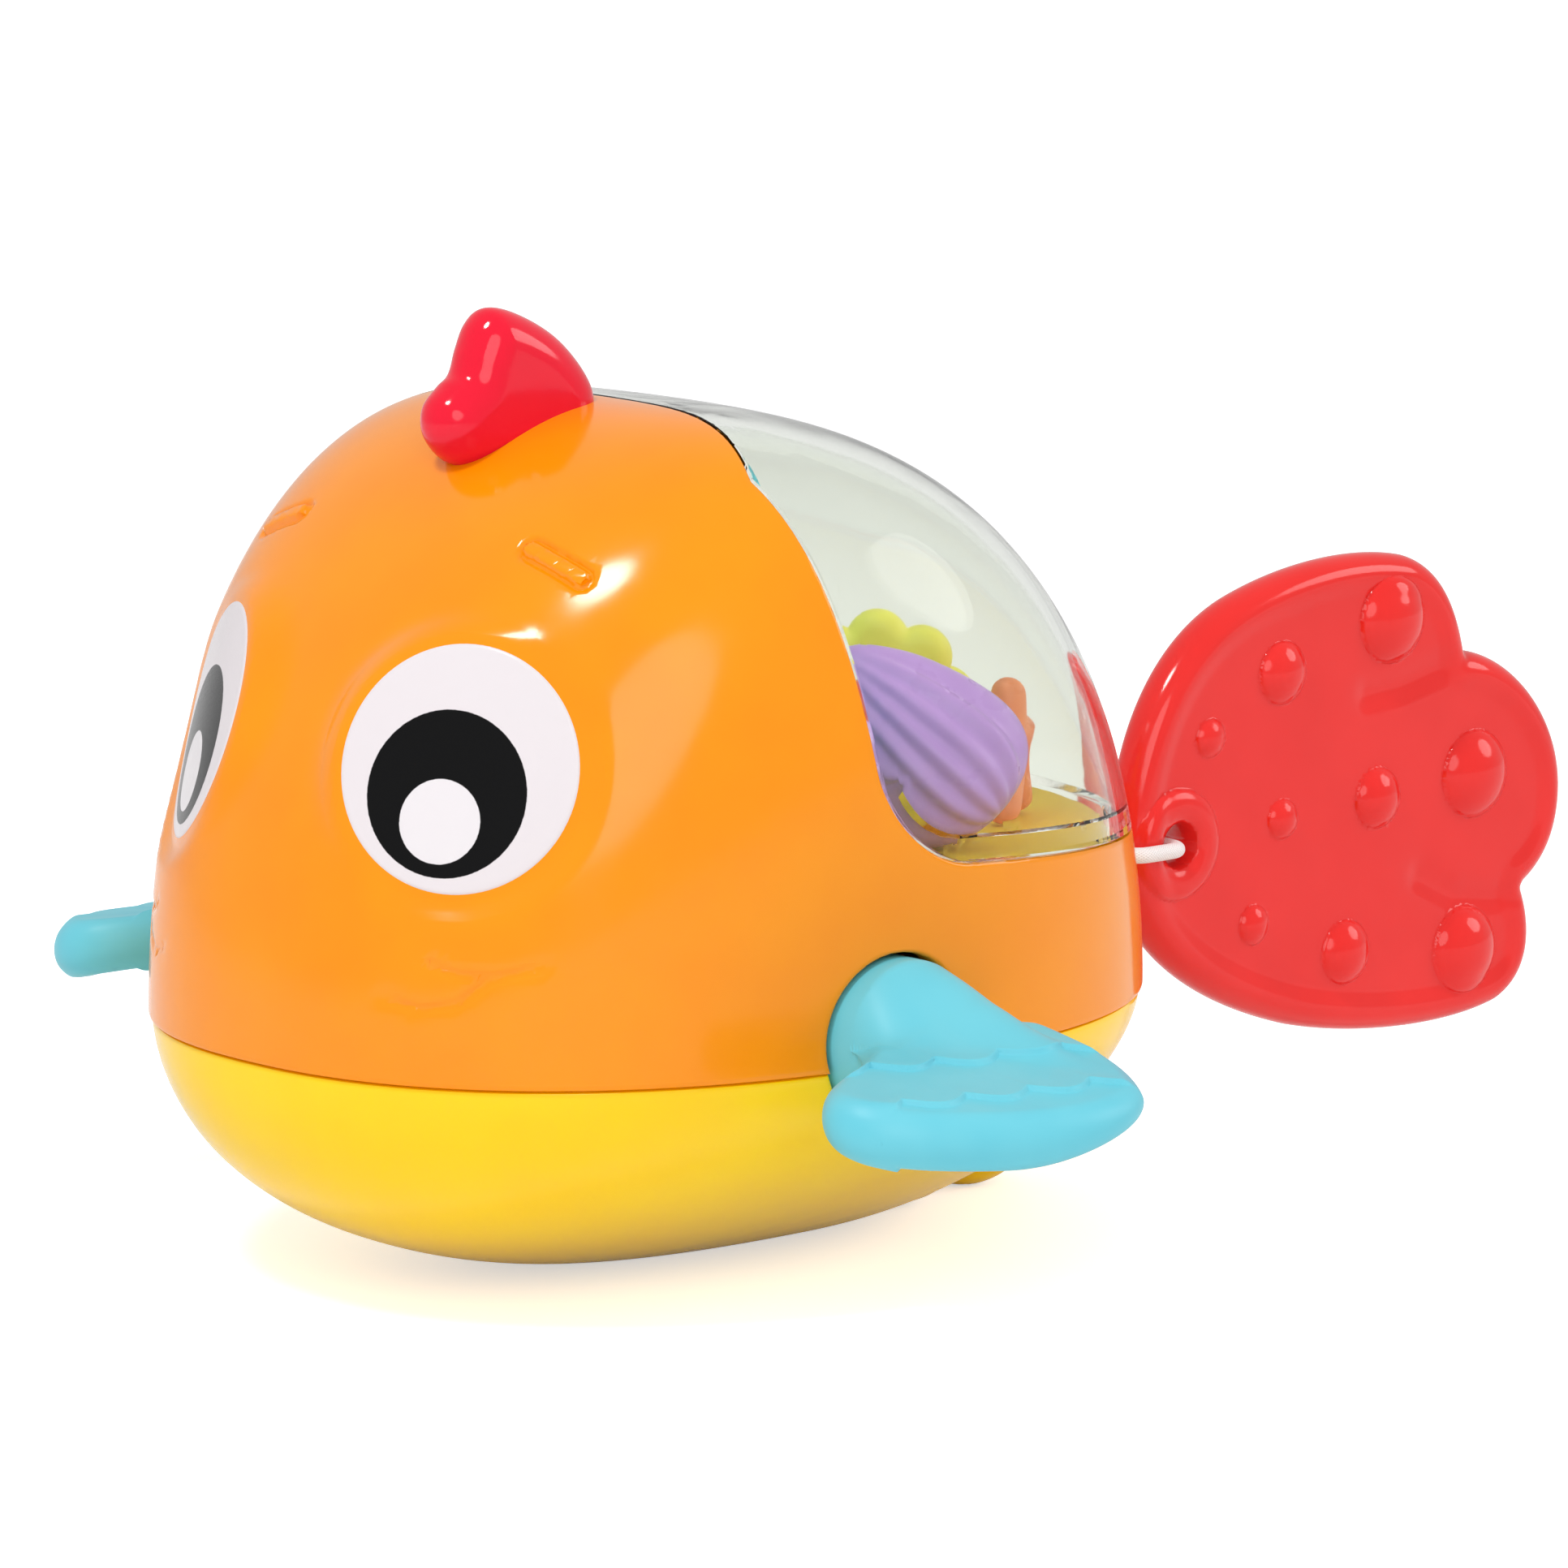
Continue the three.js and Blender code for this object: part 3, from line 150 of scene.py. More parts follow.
# an object at the origin, smooth but for edges over the sharp angle
def addPiece(name, points, triangles, finish, rides, replaced=(), uv=None, sharp=40):
    mesh = bpy.data.meshes.new(name)
    mesh.vertices.add(len(points))
    mesh.vertices.foreach_set("co", (np.asarray(points) * metres).astype(np.float32).ravel())
    mesh.loops.add(triangles.size)
    mesh.loops.foreach_set("vertex_index", triangles.astype(np.int32).ravel())
    mesh.polygons.add(len(triangles))
    mesh.polygons.foreach_set("loop_start", np.arange(0, triangles.size, 3, dtype=np.int32))
    mesh.update(calc_edges=True)
    mesh.validate()
    mesh.polygons.foreach_set("use_smooth", np.ones(len(mesh.polygons), bool))
    mesh.set_sharp_from_angle(angle=math.radians(sharp))
    if uv is not None:
        layer = mesh.uv_layers.new(name="surface")
        corner = np.zeros(len(mesh.loops), np.int32)
        mesh.loops.foreach_get("vertex_index", corner)
        layer.data.foreach_set("uv", uv[corner].astype(np.float32).ravel())
    mesh.materials.append(finish)
    piece = bpy.data.objects.new(name, mesh)
    bpy.context.scene.collection.objects.link(piece)
    if rides:
        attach(piece, rides)
    if replaced:
        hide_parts(*replaced)
    return piece


# the same piece on the other side, its faces still outward
def mirrored(points, triangles):
    return points * np.array([1, -1, 1]), triangles[:, ::-1]


# nothing below one end, one beyond the other, and a cubic between them
def smoothStep(low, high, value):
    t = np.clip((value - low) / (high - low), 0, 1)
    return t * t * (3 - 2 * t)


# how far a rounded edge of the given radius has dropped at a distance from the edge
def edgeDrop(distance, radius):
    run = np.clip(radius - distance, 0, radius)
    return radius - np.sqrt(np.maximum(radius ** 2 - run ** 2, 0))


# a share that climbs as a quarter circle from nothing at the rim to one at the edge's width
def quarterRound(distance, width):
    run = np.clip(1 - distance / width, 0, 1)
    return np.sqrt(1 - run ** 2)


# least distance from points to a chain of straight lines
def lineDistance(points, chain):
    chain = np.asarray(chain, float)
    best = np.full(len(points), np.inf)
    for a, b in zip(chain[:-1], chain[1:]):
        t = np.clip((points - a) @ (b - a) / ((b - a) @ (b - a)), 0, 1)
        best = np.minimum(best, np.linalg.norm(points - a - t[:, None] * (b - a), axis=1))
    return best


# a power of the size that keeps the sign
def signedPower(value, power):
    return np.sign(value) * np.abs(value) ** power


# Finishes

# sRGB hex as linear light
def linear(hexColour):
    parts = np.array([int(hexColour[k:k + 2], 16) / 255 for k in (1, 3, 5)])
    return (*np.where(parts <= 0.04045, parts / 12.92, ((parts + 0.055) / 1.055) ** 2.4), 1.0)


# a node with its values set and its inputs linked
def addNode(tree, kind, settings=None, links=None):
    node = tree.nodes.new(kind)
    for key, value in (settings or {}).items():
        if isinstance(key, int) or key in node.inputs:
            node.inputs[key].default_value = value
        else:
            setattr(node, key, value)
    for key, source in (links or {}).items():
        tree.links.new(source, node.inputs[key])
    return node


def newFinish(name):
    finish = bpy.data.materials.new(name)
    finish.use_nodes = True
    tree = finish.node_tree
    return finish, tree, tree.nodes["Principled BSDF"]


# settings of a Map Range node
def mapped(low, high, toLow, toHigh):
    return {"From Min": low, "From Max": high, "To Min": toLow, "To Max": toHigh}


# settings of a Mix node for colours, whose sockets 6 and 7 are the two colours
def blended(first, second):
    return {"data_type": "RGBA", 6: linear(first), 7: linear(second)}


# settings of a Noise node with patches of a size in millimetres
def patches(size, detail):
    return {"Scale": 1 / (size * metres), "Detail": detail}


# Moulded plastic: colour drifts a little over patches, the skin has a faint ripple and fine grain from the tool
def mouldedPlastic(name, colour, deep, rough, ior, grain=0.45, grainDepth=0.02):
    patch, ripple, scuff = 14, 3, 6  # mm
    drift, roughMore = 0.7, 0.07
    finish, tree, shader = newFinish(name)
    place = addNode(tree, "ShaderNodeTexCoord").outputs["Object"]
    cloud = addNode(tree, "ShaderNodeTexNoise", patches(patch, 2.0), {"Vector": place})
    soft = addNode(tree, "ShaderNodeMapRange", mapped(0.35, 0.75, 0.0, drift),
                   {"Value": cloud.outputs["Fac"]})
    tint = addNode(tree, "ShaderNodeMix", blended(colour, deep), {0: soft.outputs[0]})
    tree.links.new(tint.outputs[2], shader.inputs["Base Color"])
    scuffs = addNode(tree, "ShaderNodeTexNoise", patches(scuff, 5.0), {"Vector": place})
    gloss = addNode(tree, "ShaderNodeMapRange", mapped(0.3, 0.75, rough, rough + roughMore),
                    {"Value": scuffs.outputs["Fac"]})
    tree.links.new(gloss.outputs[0], shader.inputs["Roughness"])
    waves = addNode(tree, "ShaderNodeTexNoise", patches(ripple, 1.0), {"Vector": place})
    coarse = addNode(tree, "ShaderNodeBump", {"Strength": 0.08, "Distance": 0.06 * metres},
                     {"Height": waves.outputs["Fac"]})
    dust = addNode(tree, "ShaderNodeTexNoise", patches(grain, 2.0), {"Vector": place})
    fine = addNode(tree, "ShaderNodeBump", {"Strength": 0.1, "Distance": grainDepth * metres},
                   {"Height": dust.outputs["Fac"], "Normal": coarse.outputs["Normal"]})
    tree.links.new(fine.outputs["Normal"], shader.inputs["Normal"])
    shader.inputs["IOR"].default_value = ior
    shader.inputs["Specular IOR Level"].default_value = 0.32  # under the usual 0.5, as the photographed gloss
    return finish


absIor, vinylIor, polytheneIor, acetalIor = 1.53, 1.53, 1.51, 1.48
orangeAbs = mouldedPlastic("orange_abs_moulded", "#f69200", "#f38a00", 0.1, absIor)
yellowAbs = mouldedPlastic("yellow_abs_moulded", "#ffd400", "#fdcc00", 0.12, absIor)
tealPolythene = mouldedPlastic("teal_polythene_moulded", "#6cc8d8", "#5cbfd2", 0.4, polytheneIor, 0.6, 0.05)
redVinyl = mouldedPlastic("red_vinyl_moulded", "#e82a26", "#e22420", 0.09, vinylIor)
crestVinyl = mouldedPlastic("crimson_vinyl_moulded", "#e80c30", "#de082a", 0.08, vinylIor)
# the pieces behind the window are paler than they look, because the clear skin dims them
purpleAbs = mouldedPlastic("purple_abs_moulded", "#cda1e9", "#c397e2", 0.26, absIor)
yellowPlay = mouldedPlastic("pale_yellow_abs_moulded", "#fff874", "#fcf266", 0.28, absIor)
trayAbs = mouldedPlastic("deep_yellow_abs_moulded", "#ffd640", "#fdd032", 0.65, absIor)
salmonAbs = mouldedPlastic("salmon_abs_moulded", "#ffa06c", "#fb9660", 0.25, absIor)
acetal = mouldedPlastic("natural_acetal_moulded", "#e9e5da", "#dfdacb", 0.34, acetalIor)


# Clear polystyrene: polished, a trace of grey green, and long flow lines from the gate
def clearStyrene(name):
    finish, tree, shader = newFinish(name)
    place = addNode(tree, "ShaderNodeTexCoord").outputs["Object"]
    flow = addNode(tree, "ShaderNodeTexNoise", {**patches(22, 2.0), "Distortion": 1.2}, {"Vector": place})
    bump = addNode(tree, "ShaderNodeBump", {"Strength": 0.2, "Distance": 0.2 * metres},
                   {"Height": flow.outputs["Fac"]})
    tree.links.new(bump.outputs["Normal"], shader.inputs["Normal"])
    film = addNode(tree, "ShaderNodeMapRange", mapped(0.3, 0.8, 0.02, 0.06), {"Value": flow.outputs["Fac"]})
    tree.links.new(film.outputs[0], shader.inputs["Roughness"])
    shader.inputs["Base Color"].default_value = linear("#ecefe9")
    shader.inputs["Transmission Weight"].default_value = 1.0
    # polystyrene has 1.59, which gives a hard highlight and black edges that the real skin doesn't show
    shader.inputs["IOR"].default_value = 1.2
    return finish


clearDome = clearStyrene("clear_polystyrene")


# Drawn steel: fine lines along the bar
def drawnSteel(name):
    lineWidth, stretch = 0.4, 0.05  # mm, and how much less often the pattern changes along the bar
    finish, tree, shader = newFinish(name)
    place = addNode(tree, "ShaderNodeTexCoord").outputs["Object"]
    along = addNode(tree, "ShaderNodeMapping", {"Scale": (1, stretch, 1)}, {"Vector": place})
    lines = addNode(tree, "ShaderNodeTexNoise", patches(lineWidth, 3.0), {"Vector": along.outputs[0]})
    gloss = addNode(tree, "ShaderNodeMapRange", mapped(0.3, 0.7, 0.22, 0.42), {"Value": lines.outputs["Fac"]})
    tree.links.new(gloss.outputs[0], shader.inputs["Roughness"])
    shader.inputs["Base Color"].default_value = linear("#b9bcc0")
    shader.inputs["Metallic"].default_value = 1.0
    return finish


steel = drawnSteel("drawn_steel")


# Braided nylon cord: strands cross in two directions round it, by a UV map in millimetres
def braidedNylon(name):
    strand, lay = 0.9, math.radians(45)
    finish, tree, shader = newFinish(name)
    place = addNode(tree, "ShaderNodeTexCoord").outputs["UV"]
    heights = []
    for lean in (lay, -lay):
        turned = addNode(tree, "ShaderNodeMapping", {"Rotation": (0, 0, lean)}, {"Vector": place})
        wave = addNode(tree, "ShaderNodeTexWave", {"Scale": 1 / strand, "Distortion": 0.0},
                       {"Vector": turned.outputs[0]})
        heights.append(wave.outputs["Fac"])
    weave = addNode(tree, "ShaderNodeMath", {"operation": "MAXIMUM"}, {0: heights[0], 1: heights[1]})
    bump = addNode(tree, "ShaderNodeBump", {"Strength": 0.5, "Distance": 0.2 * metres},
                   {"Height": weave.outputs[0]})
    tree.links.new(bump.outputs["Normal"], shader.inputs["Normal"])
    # painted shade: the grooves between strands are coloured darker and the ridges lighter, by the weave's
    # height
    paintedGrooveShade = addNode(tree, "ShaderNodeMix", blended("#e2d8d8", "#faf6f5"), {0: weave.outputs[0]})
    tree.links.new(paintedGrooveShade.outputs[2], shader.inputs["Base Color"])
    shader.inputs["Roughness"].default_value = 0.5
    return finish


cordNylon = braidedNylon("white_nylon_braid")


# Printed eye: white ink, a dark pupil and a pale disc inside it, laid by the eye's own UV map in millimetres
def eyePrint(name, pupil, glint):
    wobble, soft = 0.12, 0.05  # mm, the ragged and the blurred edge of the ink
    finish, tree, shader = newFinish(name)
    place = addNode(tree, "ShaderNodeTexCoord").outputs["UV"]
    grain = addNode(tree, "ShaderNodeTexNoise", {"Scale": 1.6, "Detail": 2.0}, {"Vector": place})
    colour = None
    for (u, v, radius), ink in ((pupil, "#020203"), (glint, "#e2dde0")):
        reach = addNode(tree, "ShaderNodeVectorMath", {"operation": "DISTANCE", 1: (u, v, 0)}, {0: place})
        ragged = addNode(tree, "ShaderNodeMath",
                         {"operation": "MULTIPLY_ADD", 1: wobble, 2: radius - wobble / 2},
                         {0: grain.outputs["Fac"]})
        edge = addNode(tree, "ShaderNodeMath", {"operation": "SUBTRACT"},
                       {0: ragged.outputs[0], 1: reach.outputs["Value"]})
        inside = addNode(tree, "ShaderNodeMapRange", mapped(-soft, soft, 0.0, 1.0),
                         {"Value": edge.outputs[0]})
        mix = addNode(tree, "ShaderNodeMix", blended("#dfd8db", ink), {0: inside.outputs[0]})
        if colour:
            tree.links.new(colour, mix.inputs[6])
        colour = mix.outputs[2]
    tree.links.new(colour, shader.inputs["Base Color"])
    gloss = addNode(tree, "ShaderNodeMapRange", mapped(0.3, 0.7, 0.2, 0.24), {"Value": grain.outputs["Fac"]})
    tree.links.new(gloss.outputs[0], shader.inputs["Roughness"])
    shader.inputs["Specular IOR Level"].default_value = 0.2  # ink shines less than the shell
    return finish


eyeInk = eyePrint("printed_eye_ink", pupil=(-1.3, -3.1, 10.3), glint=(-1.9, -6.5, 5.2))
print("finishes made")


# Body: horizontal superellipses whose nose, rear and half-width shrink toward the crown and the belly

body = dict(seam=32.4, nose=65.0, rear=66.4, halfWidth=55.2, upper=78.0, depth=34.4, wall=2.2, widestX=3.9,
            crownX=-8.7, bellyX=22.9, nosePlan=2.28, rearPlan=2.2, upperPowers=(1.97, 2.04, 4.0),
            hullPowers=(2.56, 1.87, 1.5), gap=0.08, lip=0.45, hullInset=0.45,
            seamSteps=(0, 0.25, 0.55, 0.9, 1.4), lipSteps=(0, 0.15, 0.4, 0.75),
            shellGrid=(84, 260), hullGrid=(56, 240))


def roundOff(share, power):
    return np.maximum(1 - share ** power, 0) ** (1 / power)


# where a level's front and rear lie, its half width, and its widest place between them
def bodyLevel(share, upper, inset=0.0):
    b = body
    front, rear, side = b["upperPowers"] if upper else b["hullPowers"]
    poleX = b["crownX"] if upper else b["bellyX"]
    frontX = poleX + (inset - b["nose"] - poleX) * roundOff(share, front)
    rearX = poleX + (b["rear"] - inset - poleX) * roundOff(share, rear)
    half = (b["halfWidth"] - inset) * roundOff(share, side)
    middle = np.clip(b["widestX"] + (poleX - b["widestX"]) * (1 - roundOff(share, 2)), frontX, rearX)
    return frontX, rearX, half, middle


# a point at a share (0 seam, 1 pole) of the upper or lower height and an angle from the rear
def bodySurface(share, angle, upper, inset=0.0):
    frontX, rearX, half, middle = bodyLevel(share, upper, inset)
    height = body["upper"] - inset if upper else inset - body["depth"]
    c, s = np.cos(angle), np.sin(angle)
    power = 2 / np.where(c < 0, body["nosePlan"], body["rearPlan"])
    reach = np.where(c < 0, middle - frontX, rearX - middle)
    x = middle + reach * signedPower(c, power)
    y = half * signedPower(s, power)
    return np.stack([x, y, body["seam"] + height * share + 0 * c], -1)


# the skin of one half as rings from the seam to a pole, closer together at both
def bodySkin(upper, grid, inset=0.0):
    rings, sides = grid
    near = np.array(body["seamSteps"]) / (body["upper"] if upper else body["depth"])
    share = np.unique(np.concatenate([near, np.sin(np.arange(1, rings) / rings * math.pi / 2)]))
    points = bodySurface(share[:, None], roundAngles(sides)[None, :], upper, inset).reshape(-1, 3)
    pole = bodySurface(np.ones(1), np.zeros(1), upper, inset)
    last = np.arange(sides) + (len(share) - 1) * sides
    triangles = np.concatenate([gridTriangles(len(share), sides), fan(last, len(points))])
    return np.concatenate([points, pole]), triangles if upper else triangles[:, ::-1]


# more than nothing outside the upper body: the plan's superellipse at the point's own height
def bodyField(p):
    share = np.clip((p[:, 2] - body["seam"]) / body["upper"], 0, 0.9999)
    frontX, rearX, half, middle = bodyLevel(share, True)
    ahead = p[:, 0] < middle
    reach = np.where(ahead, middle - frontX, rearX - middle)
    power = np.where(ahead, body["nosePlan"], body["rearPlan"])
    return np.abs((p[:, 0] - middle) / reach) ** power + np.abs(p[:, 1] / half) ** power - 1


# how far along a direction each point must go to reach the body, by halving the interval
def reachBody(points, direction, low=-14.0, high=8.0, halvings=40):
    low, high = np.full(len(points), low), np.full(len(points), high)
    for k in range(halvings):
        middle = (low + high) / 2
        outside = bodyField(points + middle[:, None] * direction) > 0
        low, high = np.where(outside, low, middle), np.where(outside, middle, high)
    return (low + high) / 2


window = dict(crownX=-16.1, sillX=-6.2, sillZ=body["seam"] + 24.8, drop=5.0, corner=12.0, bowX=-7.0,
              bowRadius=94.0, wall=1.8, flange=3.0, flangeWall=1.1, flangeEase=0.3, flangeTop=(12, 6),
              lip=0.12, edgeSteps=(0, 0.12, 0.3, 0.55), grid=(72, 220))


# how far inside the window's outline: the least of the distances behind its leaning front edge, over its
# falling sill and behind the bowed edge seen from above, with the lower corner rounded off
def windowField(p):
    w = window
    lean = (w["sillX"] - w["crownX"]) / (body["seam"] + body["upper"] - w["sillZ"])
    fall = w["drop"] / (body["rear"] - w["sillX"])
    behind = (p[:, 0] - w["sillX"] + lean * (p[:, 2] - w["sillZ"])) / math.hypot(1, lean)
    over = (p[:, 2] - w["sillZ"] + fall * (p[:, 0] - w["sillX"])) / math.hypot(1, fall)
    short = np.hypot(np.maximum(w["corner"] - behind, 0), np.maximum(w["corner"] - over, 0))
    corner = np.where(short > 0, w["corner"] - short, np.minimum(behind, over))
    bow = np.hypot(p[:, 0] - w["bowX"] + w["bowRadius"], p[:, 1]) - w["bowRadius"]
    return np.minimum(corner, bow)


axle = dict(x=-6.0, z=body["seam"] + 3.5, hub=10.0, runGap=0.6)


# how far outside the fin's round hole, seen from the side
def holeField(p):
    return np.hypot(p[:, 0] - axle["x"], p[:, 2] - axle["z"]) - axle["hub"] - axle["runGap"]


eye = dict(centre=(-52.3, -25.8, body["seam"] + 38.6), facing=(-0.8, -0.57, 0.2), radius=15.5, flat=15.9,
           blend=20.0, level=-1.9, share=0.5, proud=0.12, thick=0.5, rim=0.5, rimSteps=(0.5, 0.2, 0.05, 0),
           rings=(0.4, 14.7, 24), sides=96, dishSteps=(14.5, 15.8, 16.7, 18.5))
eyeFacing = unit(eye["facing"])
eyeUp = unit(np.array([0, 0, 1]) - eyeFacing[2] * eyeFacing)
eyeRight = np.cross(eyeUp, eyeFacing)


# distance from the eye's axis and height over the eye's plane, taken on the left side
def eyeFields(p):
    q = p * np.array([1, -1, 1]) ** (p[:, 1:2] > 0) - np.array(eye["centre"])
    along = q @ eyeFacing
    return np.linalg.norm(q - along[:, None] * eyeFacing, axis=1), along


brow = dict(chain=[(-37.3, -22.4, 96.0), (-36.2, -30.5, 93.2)], half=1.15, edge=0.4, foot=0.1, rise=0.5,
            groove=0.45, grooveAt=0.35, grooveWide=0.4, steps=(-0.4, -0.2, 0, 0.2, 0.4, 0.8, 1.2))
mouth = dict(lower=[(-21.5, 43.4), (-26.0, 42.0), (-30.5, 43.0), (-33.0, 45.6)],
             upper=[(-27.0, 47.8), (-30.0, 46.6), (-34.0, 46.4), (-38.0, 47.6)],
             width=0.7, depth=0.36, crisp=1.3, steps=(0.35, 0.8, 1.4), farAway=999)


def leftSide(p):
    return np.stack([p[:, 0], -np.abs(p[:, 1]), p[:, 2]], 1)


def browField(p):
    return lineDistance(leftSide(p), brow["chain"])


# distance from the two lines of the mouth, which are given across and up and lie on the face from the front
def mouthField(p):
    q = leftSide(p)
    flat = np.where(q[:, :1] < 0, q[:, 1:], mouth["farAway"])
    return np.minimum(lineDistance(flat, mouth["lower"]), lineDistance(flat, mouth["upper"]))


# height over the plain skin: a brow bar in a groove, less the creases of the mouth
def faceRelief(p):
    past = browField(p) - brow["half"]
    groove = brow["groove"] * np.exp(-((past - brow["grooveAt"]) / brow["grooveWide"]) ** 2)
    crease = mouth["depth"] * np.exp(-(mouthField(p) / mouth["width"] * mouth["crisp"]) ** 2)
    return brow["rise"] * smoothStep(brow["foot"], -brow["edge"], past) - groove - crease


# the upper skin cut at the window and the fins' holes, pulled part of the way to a plane round each eye,
# with the face in relief and every edge rounded
def makeShell():
    gap = body["gap"]
    points, triangles = bodySkin(True, body["shellGrid"])
    steps = [(windowField, -gap - d) for d in body["lipSteps"]]
    steps += [(holeField, d) for d in body["lipSteps"]]
    steps += [(browField, brow["half"] + d) for d in brow["steps"]]
    steps += [(mouthField, mouth["width"] * d) for d in mouth["steps"]]
    steps += [(lambda p: eyeFields(p)[0], d) for d in eye["dishSteps"]]
    for field, level in steps:
        points, triangles = splitAt(points, triangles, field, level)
    points, triangles = keepWhere(points, triangles, lambda p: (windowField(p) < -gap) & (holeField(p) > 0))
    distance, along = eyeFields(points)
    flatten = 1 - smoothStep(eye["flat"], eye["blend"], distance)
    ones = np.ones(len(points))
    facing = eyeFacing * np.stack([ones, np.where(points[:, 1] > 0, -1, 1), ones], 1)
    facing = np.where(distance[:, None] < eye["blend"], facing, 0)
    away = np.minimum(-windowField(points) - gap, holeField(points))
    away = np.minimum(away, points[:, 2] - body["seam"] - gap)
    relief = faceRelief(points)
    points = points + facing * (eye["share"] * (eye["level"] - along) * flatten)[:, None]
    normals = pointNormals(points, triangles)
    points = points + normals * (relief - edgeDrop(np.maximum(away, 0), body["lip"]))[:, None]
    points[:, 2] = np.maximum(points[:, 2], body["seam"] + gap)
    inner = points - normals * body["wall"]
    inner[:, 2] = np.maximum(inner[:, 2], body["seam"] + gap)
    return addPiece("shell_skin", *thicken(points, triangles, inner), orangeAbs, "body", ["upper_shell"])


# the upper skin inside the window's outline, with a thicker flange that runs along the sill only
def makeDome():
    w, gap = window, body["gap"]
    flangeIn, flangeOut = w["flange"] - w["flangeEase"], w["flange"] + w["flangeEase"]
    points, triangles = bodySkin(True, w["grid"])
    for level in (*w["edgeSteps"], flangeIn, flangeOut):
        points, triangles = splitAt(points, triangles, windowField, gap + level)
    points, triangles = keepWhere(points, triangles, lambda p: windowField(p) > gap)
    inset = windowField(points) - gap
    normals = pointNormals(points, triangles)
    above, below = w["flangeTop"]
    low = smoothStep(w["sillZ"] + above, w["sillZ"] + below, points[:, 2])
    wall = w["wall"] + low * w["flangeWall"] * smoothStep(flangeOut, flangeIn, inset)
    inner = points - normals * wall[:, None]
    points = points - normals * edgeDrop(np.maximum(inset, 0), w["lip"])[:, None]
    return addPiece("dome_skin", *thicken(points, triangles, inner), clearDome, "body", ["window_dome"])


wallEdge = dict(inset=2.6, low=-1.6, high=2.0, above=75.0, ahead=20.0, thick=1.2, grid=(70, 220))


# the rim of the teal wall, which shows along the window's front edge: a band of the inset skin
def makeWallEdge():
    e = wallEdge
    points, triangles = bodySkin(True, e["grid"], e["inset"])
    for level in (e["low"], e["high"]):
        points, triangles = splitAt(points, triangles, windowField, level)
    points, triangles = splitAt(points, triangles, lambda p: p[:, 2], e["above"])

    def wanted(p):
        field = windowField(p)
        return (field > e["low"]) & (field < e["high"]) & (p[:, 2] > e["above"]) & (p[:, 0] < e["ahead"])

    points, triangles = keepWhere(points, triangles, wanted)
    inner = points - pointNormals(points, triangles) * e["thick"]
    piece = addPiece("wall_rim", *thicken(points, triangles, inner), tealPolythene, "body")
    return piece


# each lobe is its middle along the body, half length, half thickness and half height
keel = dict(lobes=[(40.0, 8.5, 12.0, 9.0), (55.0, 8.0, 8.0, 9.5)], blunt=0.6, lean=18.0, rows=40, sides=56,
            ground=0.3)


# a blunt ellipsoid, leaned back and cut flat just over the ground
def keelLobe(middle, length, thick, rise):
    rows, sides = keel["rows"] - 2, keel["sides"]
    up = np.linspace(0, math.pi, keel["rows"])[:, None]
    angle = roundAngles(sides)[None, :]
    swell, tall = np.sin(up) ** keel["blunt"], signedPower(-np.cos(up), keel["blunt"])
    p = np.stack([length * swell * np.cos(angle), thick * swell * np.sin(angle), rise * tall + 0 * angle], -1)
    p = np.concatenate([p[1:-1].reshape(-1, 3), [[0, 0, -rise], [0, 0, rise]]])
    c, s = math.cos(math.radians(keel["lean"])), math.sin(math.radians(keel["lean"]))
    x, z = p[:, 0] * c - p[:, 2] * s + middle, p[:, 0] * s + p[:, 2] * c
    p = np.stack([x, p[:, 1], np.maximum(z + rise, 0) + keel["ground"]], 1)
    first, last = np.arange(sides), np.arange(sides) + (rows - 1) * sides
    ends = [fan(first, rows * sides, False), fan(last, rows * sides + 1)]
    return p, np.concatenate([gridTriangles(rows, sides), *ends])


# the lower skin with a flat on the belly, cut at the fins' holes and rounded there and at the seam
def makeHull():
    top = body["seam"] - body["gap"]
    points, triangles = bodySkin(False, body["hullGrid"], body["hullInset"])
    for level in body["lipSteps"]:
        points, triangles = splitAt(points, triangles, holeField, level)
    points, triangles = splitAt(points, triangles, lambda p: p[:, 2], 0.0)
    points, triangles = keepWhere(points, triangles, lambda p: holeField(p) > 0)
    points[:, 2] = np.maximum(points[:, 2], 0)
    normals = pointNormals(points, triangles)
    away = np.minimum(holeField(points), top - points[:, 2])
    inner = points - normals * body["wall"]
    points = points - normals * edgeDrop(np.maximum(away, 0), body["lip"])[:, None]
    points[:, 2] = np.clip(points[:, 2], 0, top)
    parts = [thicken(points, triangles, inner), *(keelLobe(*lobe) for lobe in keel["lobes"])]
    return addPiece("hull_skin", *joinMeshes(parts), yellowAbs, "body", ["lower_hull"])


# a disc with a rounded rim that follows the shell's dish, rings by radius and angle, its back inside the shell
def makeEye(side):
    sides = eye["sides"]
    rim = eye["radius"] - np.array(eye["rimSteps"])
    radius = np.concatenate([np.linspace(*eye["rings"]), rim, [eye["radius"]]])
    height = eye["proud"] - edgeDrop(eye["radius"] - radius, eye["rim"])
    height[-1] = -eye["thick"]
    angle = roundAngles(sides)
    u = np.append(np.outer(radius, np.cos(angle)).ravel(), [0, 0])
    v = np.append(np.outer(radius, np.sin(angle)).ravel(), [0, 0])
    tall = np.append(np.repeat(height, sides), [height[0], height[-1]])
    points = np.array(eye["centre"]) + np.outer(u, eyeRight) + np.outer(v, eyeUp)
    skin = reachBody(points, eyeFacing)
    points += np.outer(tall + skin + eye["share"] * (eye["level"] - skin), eyeFacing)
    count = len(radius) * sides
    first, last = np.arange(sides), np.arange(sides) + count - sides
    ends = [fan(first, count), fan(last, count + 1, False)]
    triangles = np.concatenate([gridTriangles(len(radius), sides)[:, ::-1], *ends])
    if side > 0:
        points, triangles = mirrored(points, triangles)
    name = "left_eye" if side < 0 else "right_eye"
    return addPiece(name + "_print", points, triangles, eyeInk, "body", [name], np.stack([u, v], 1))


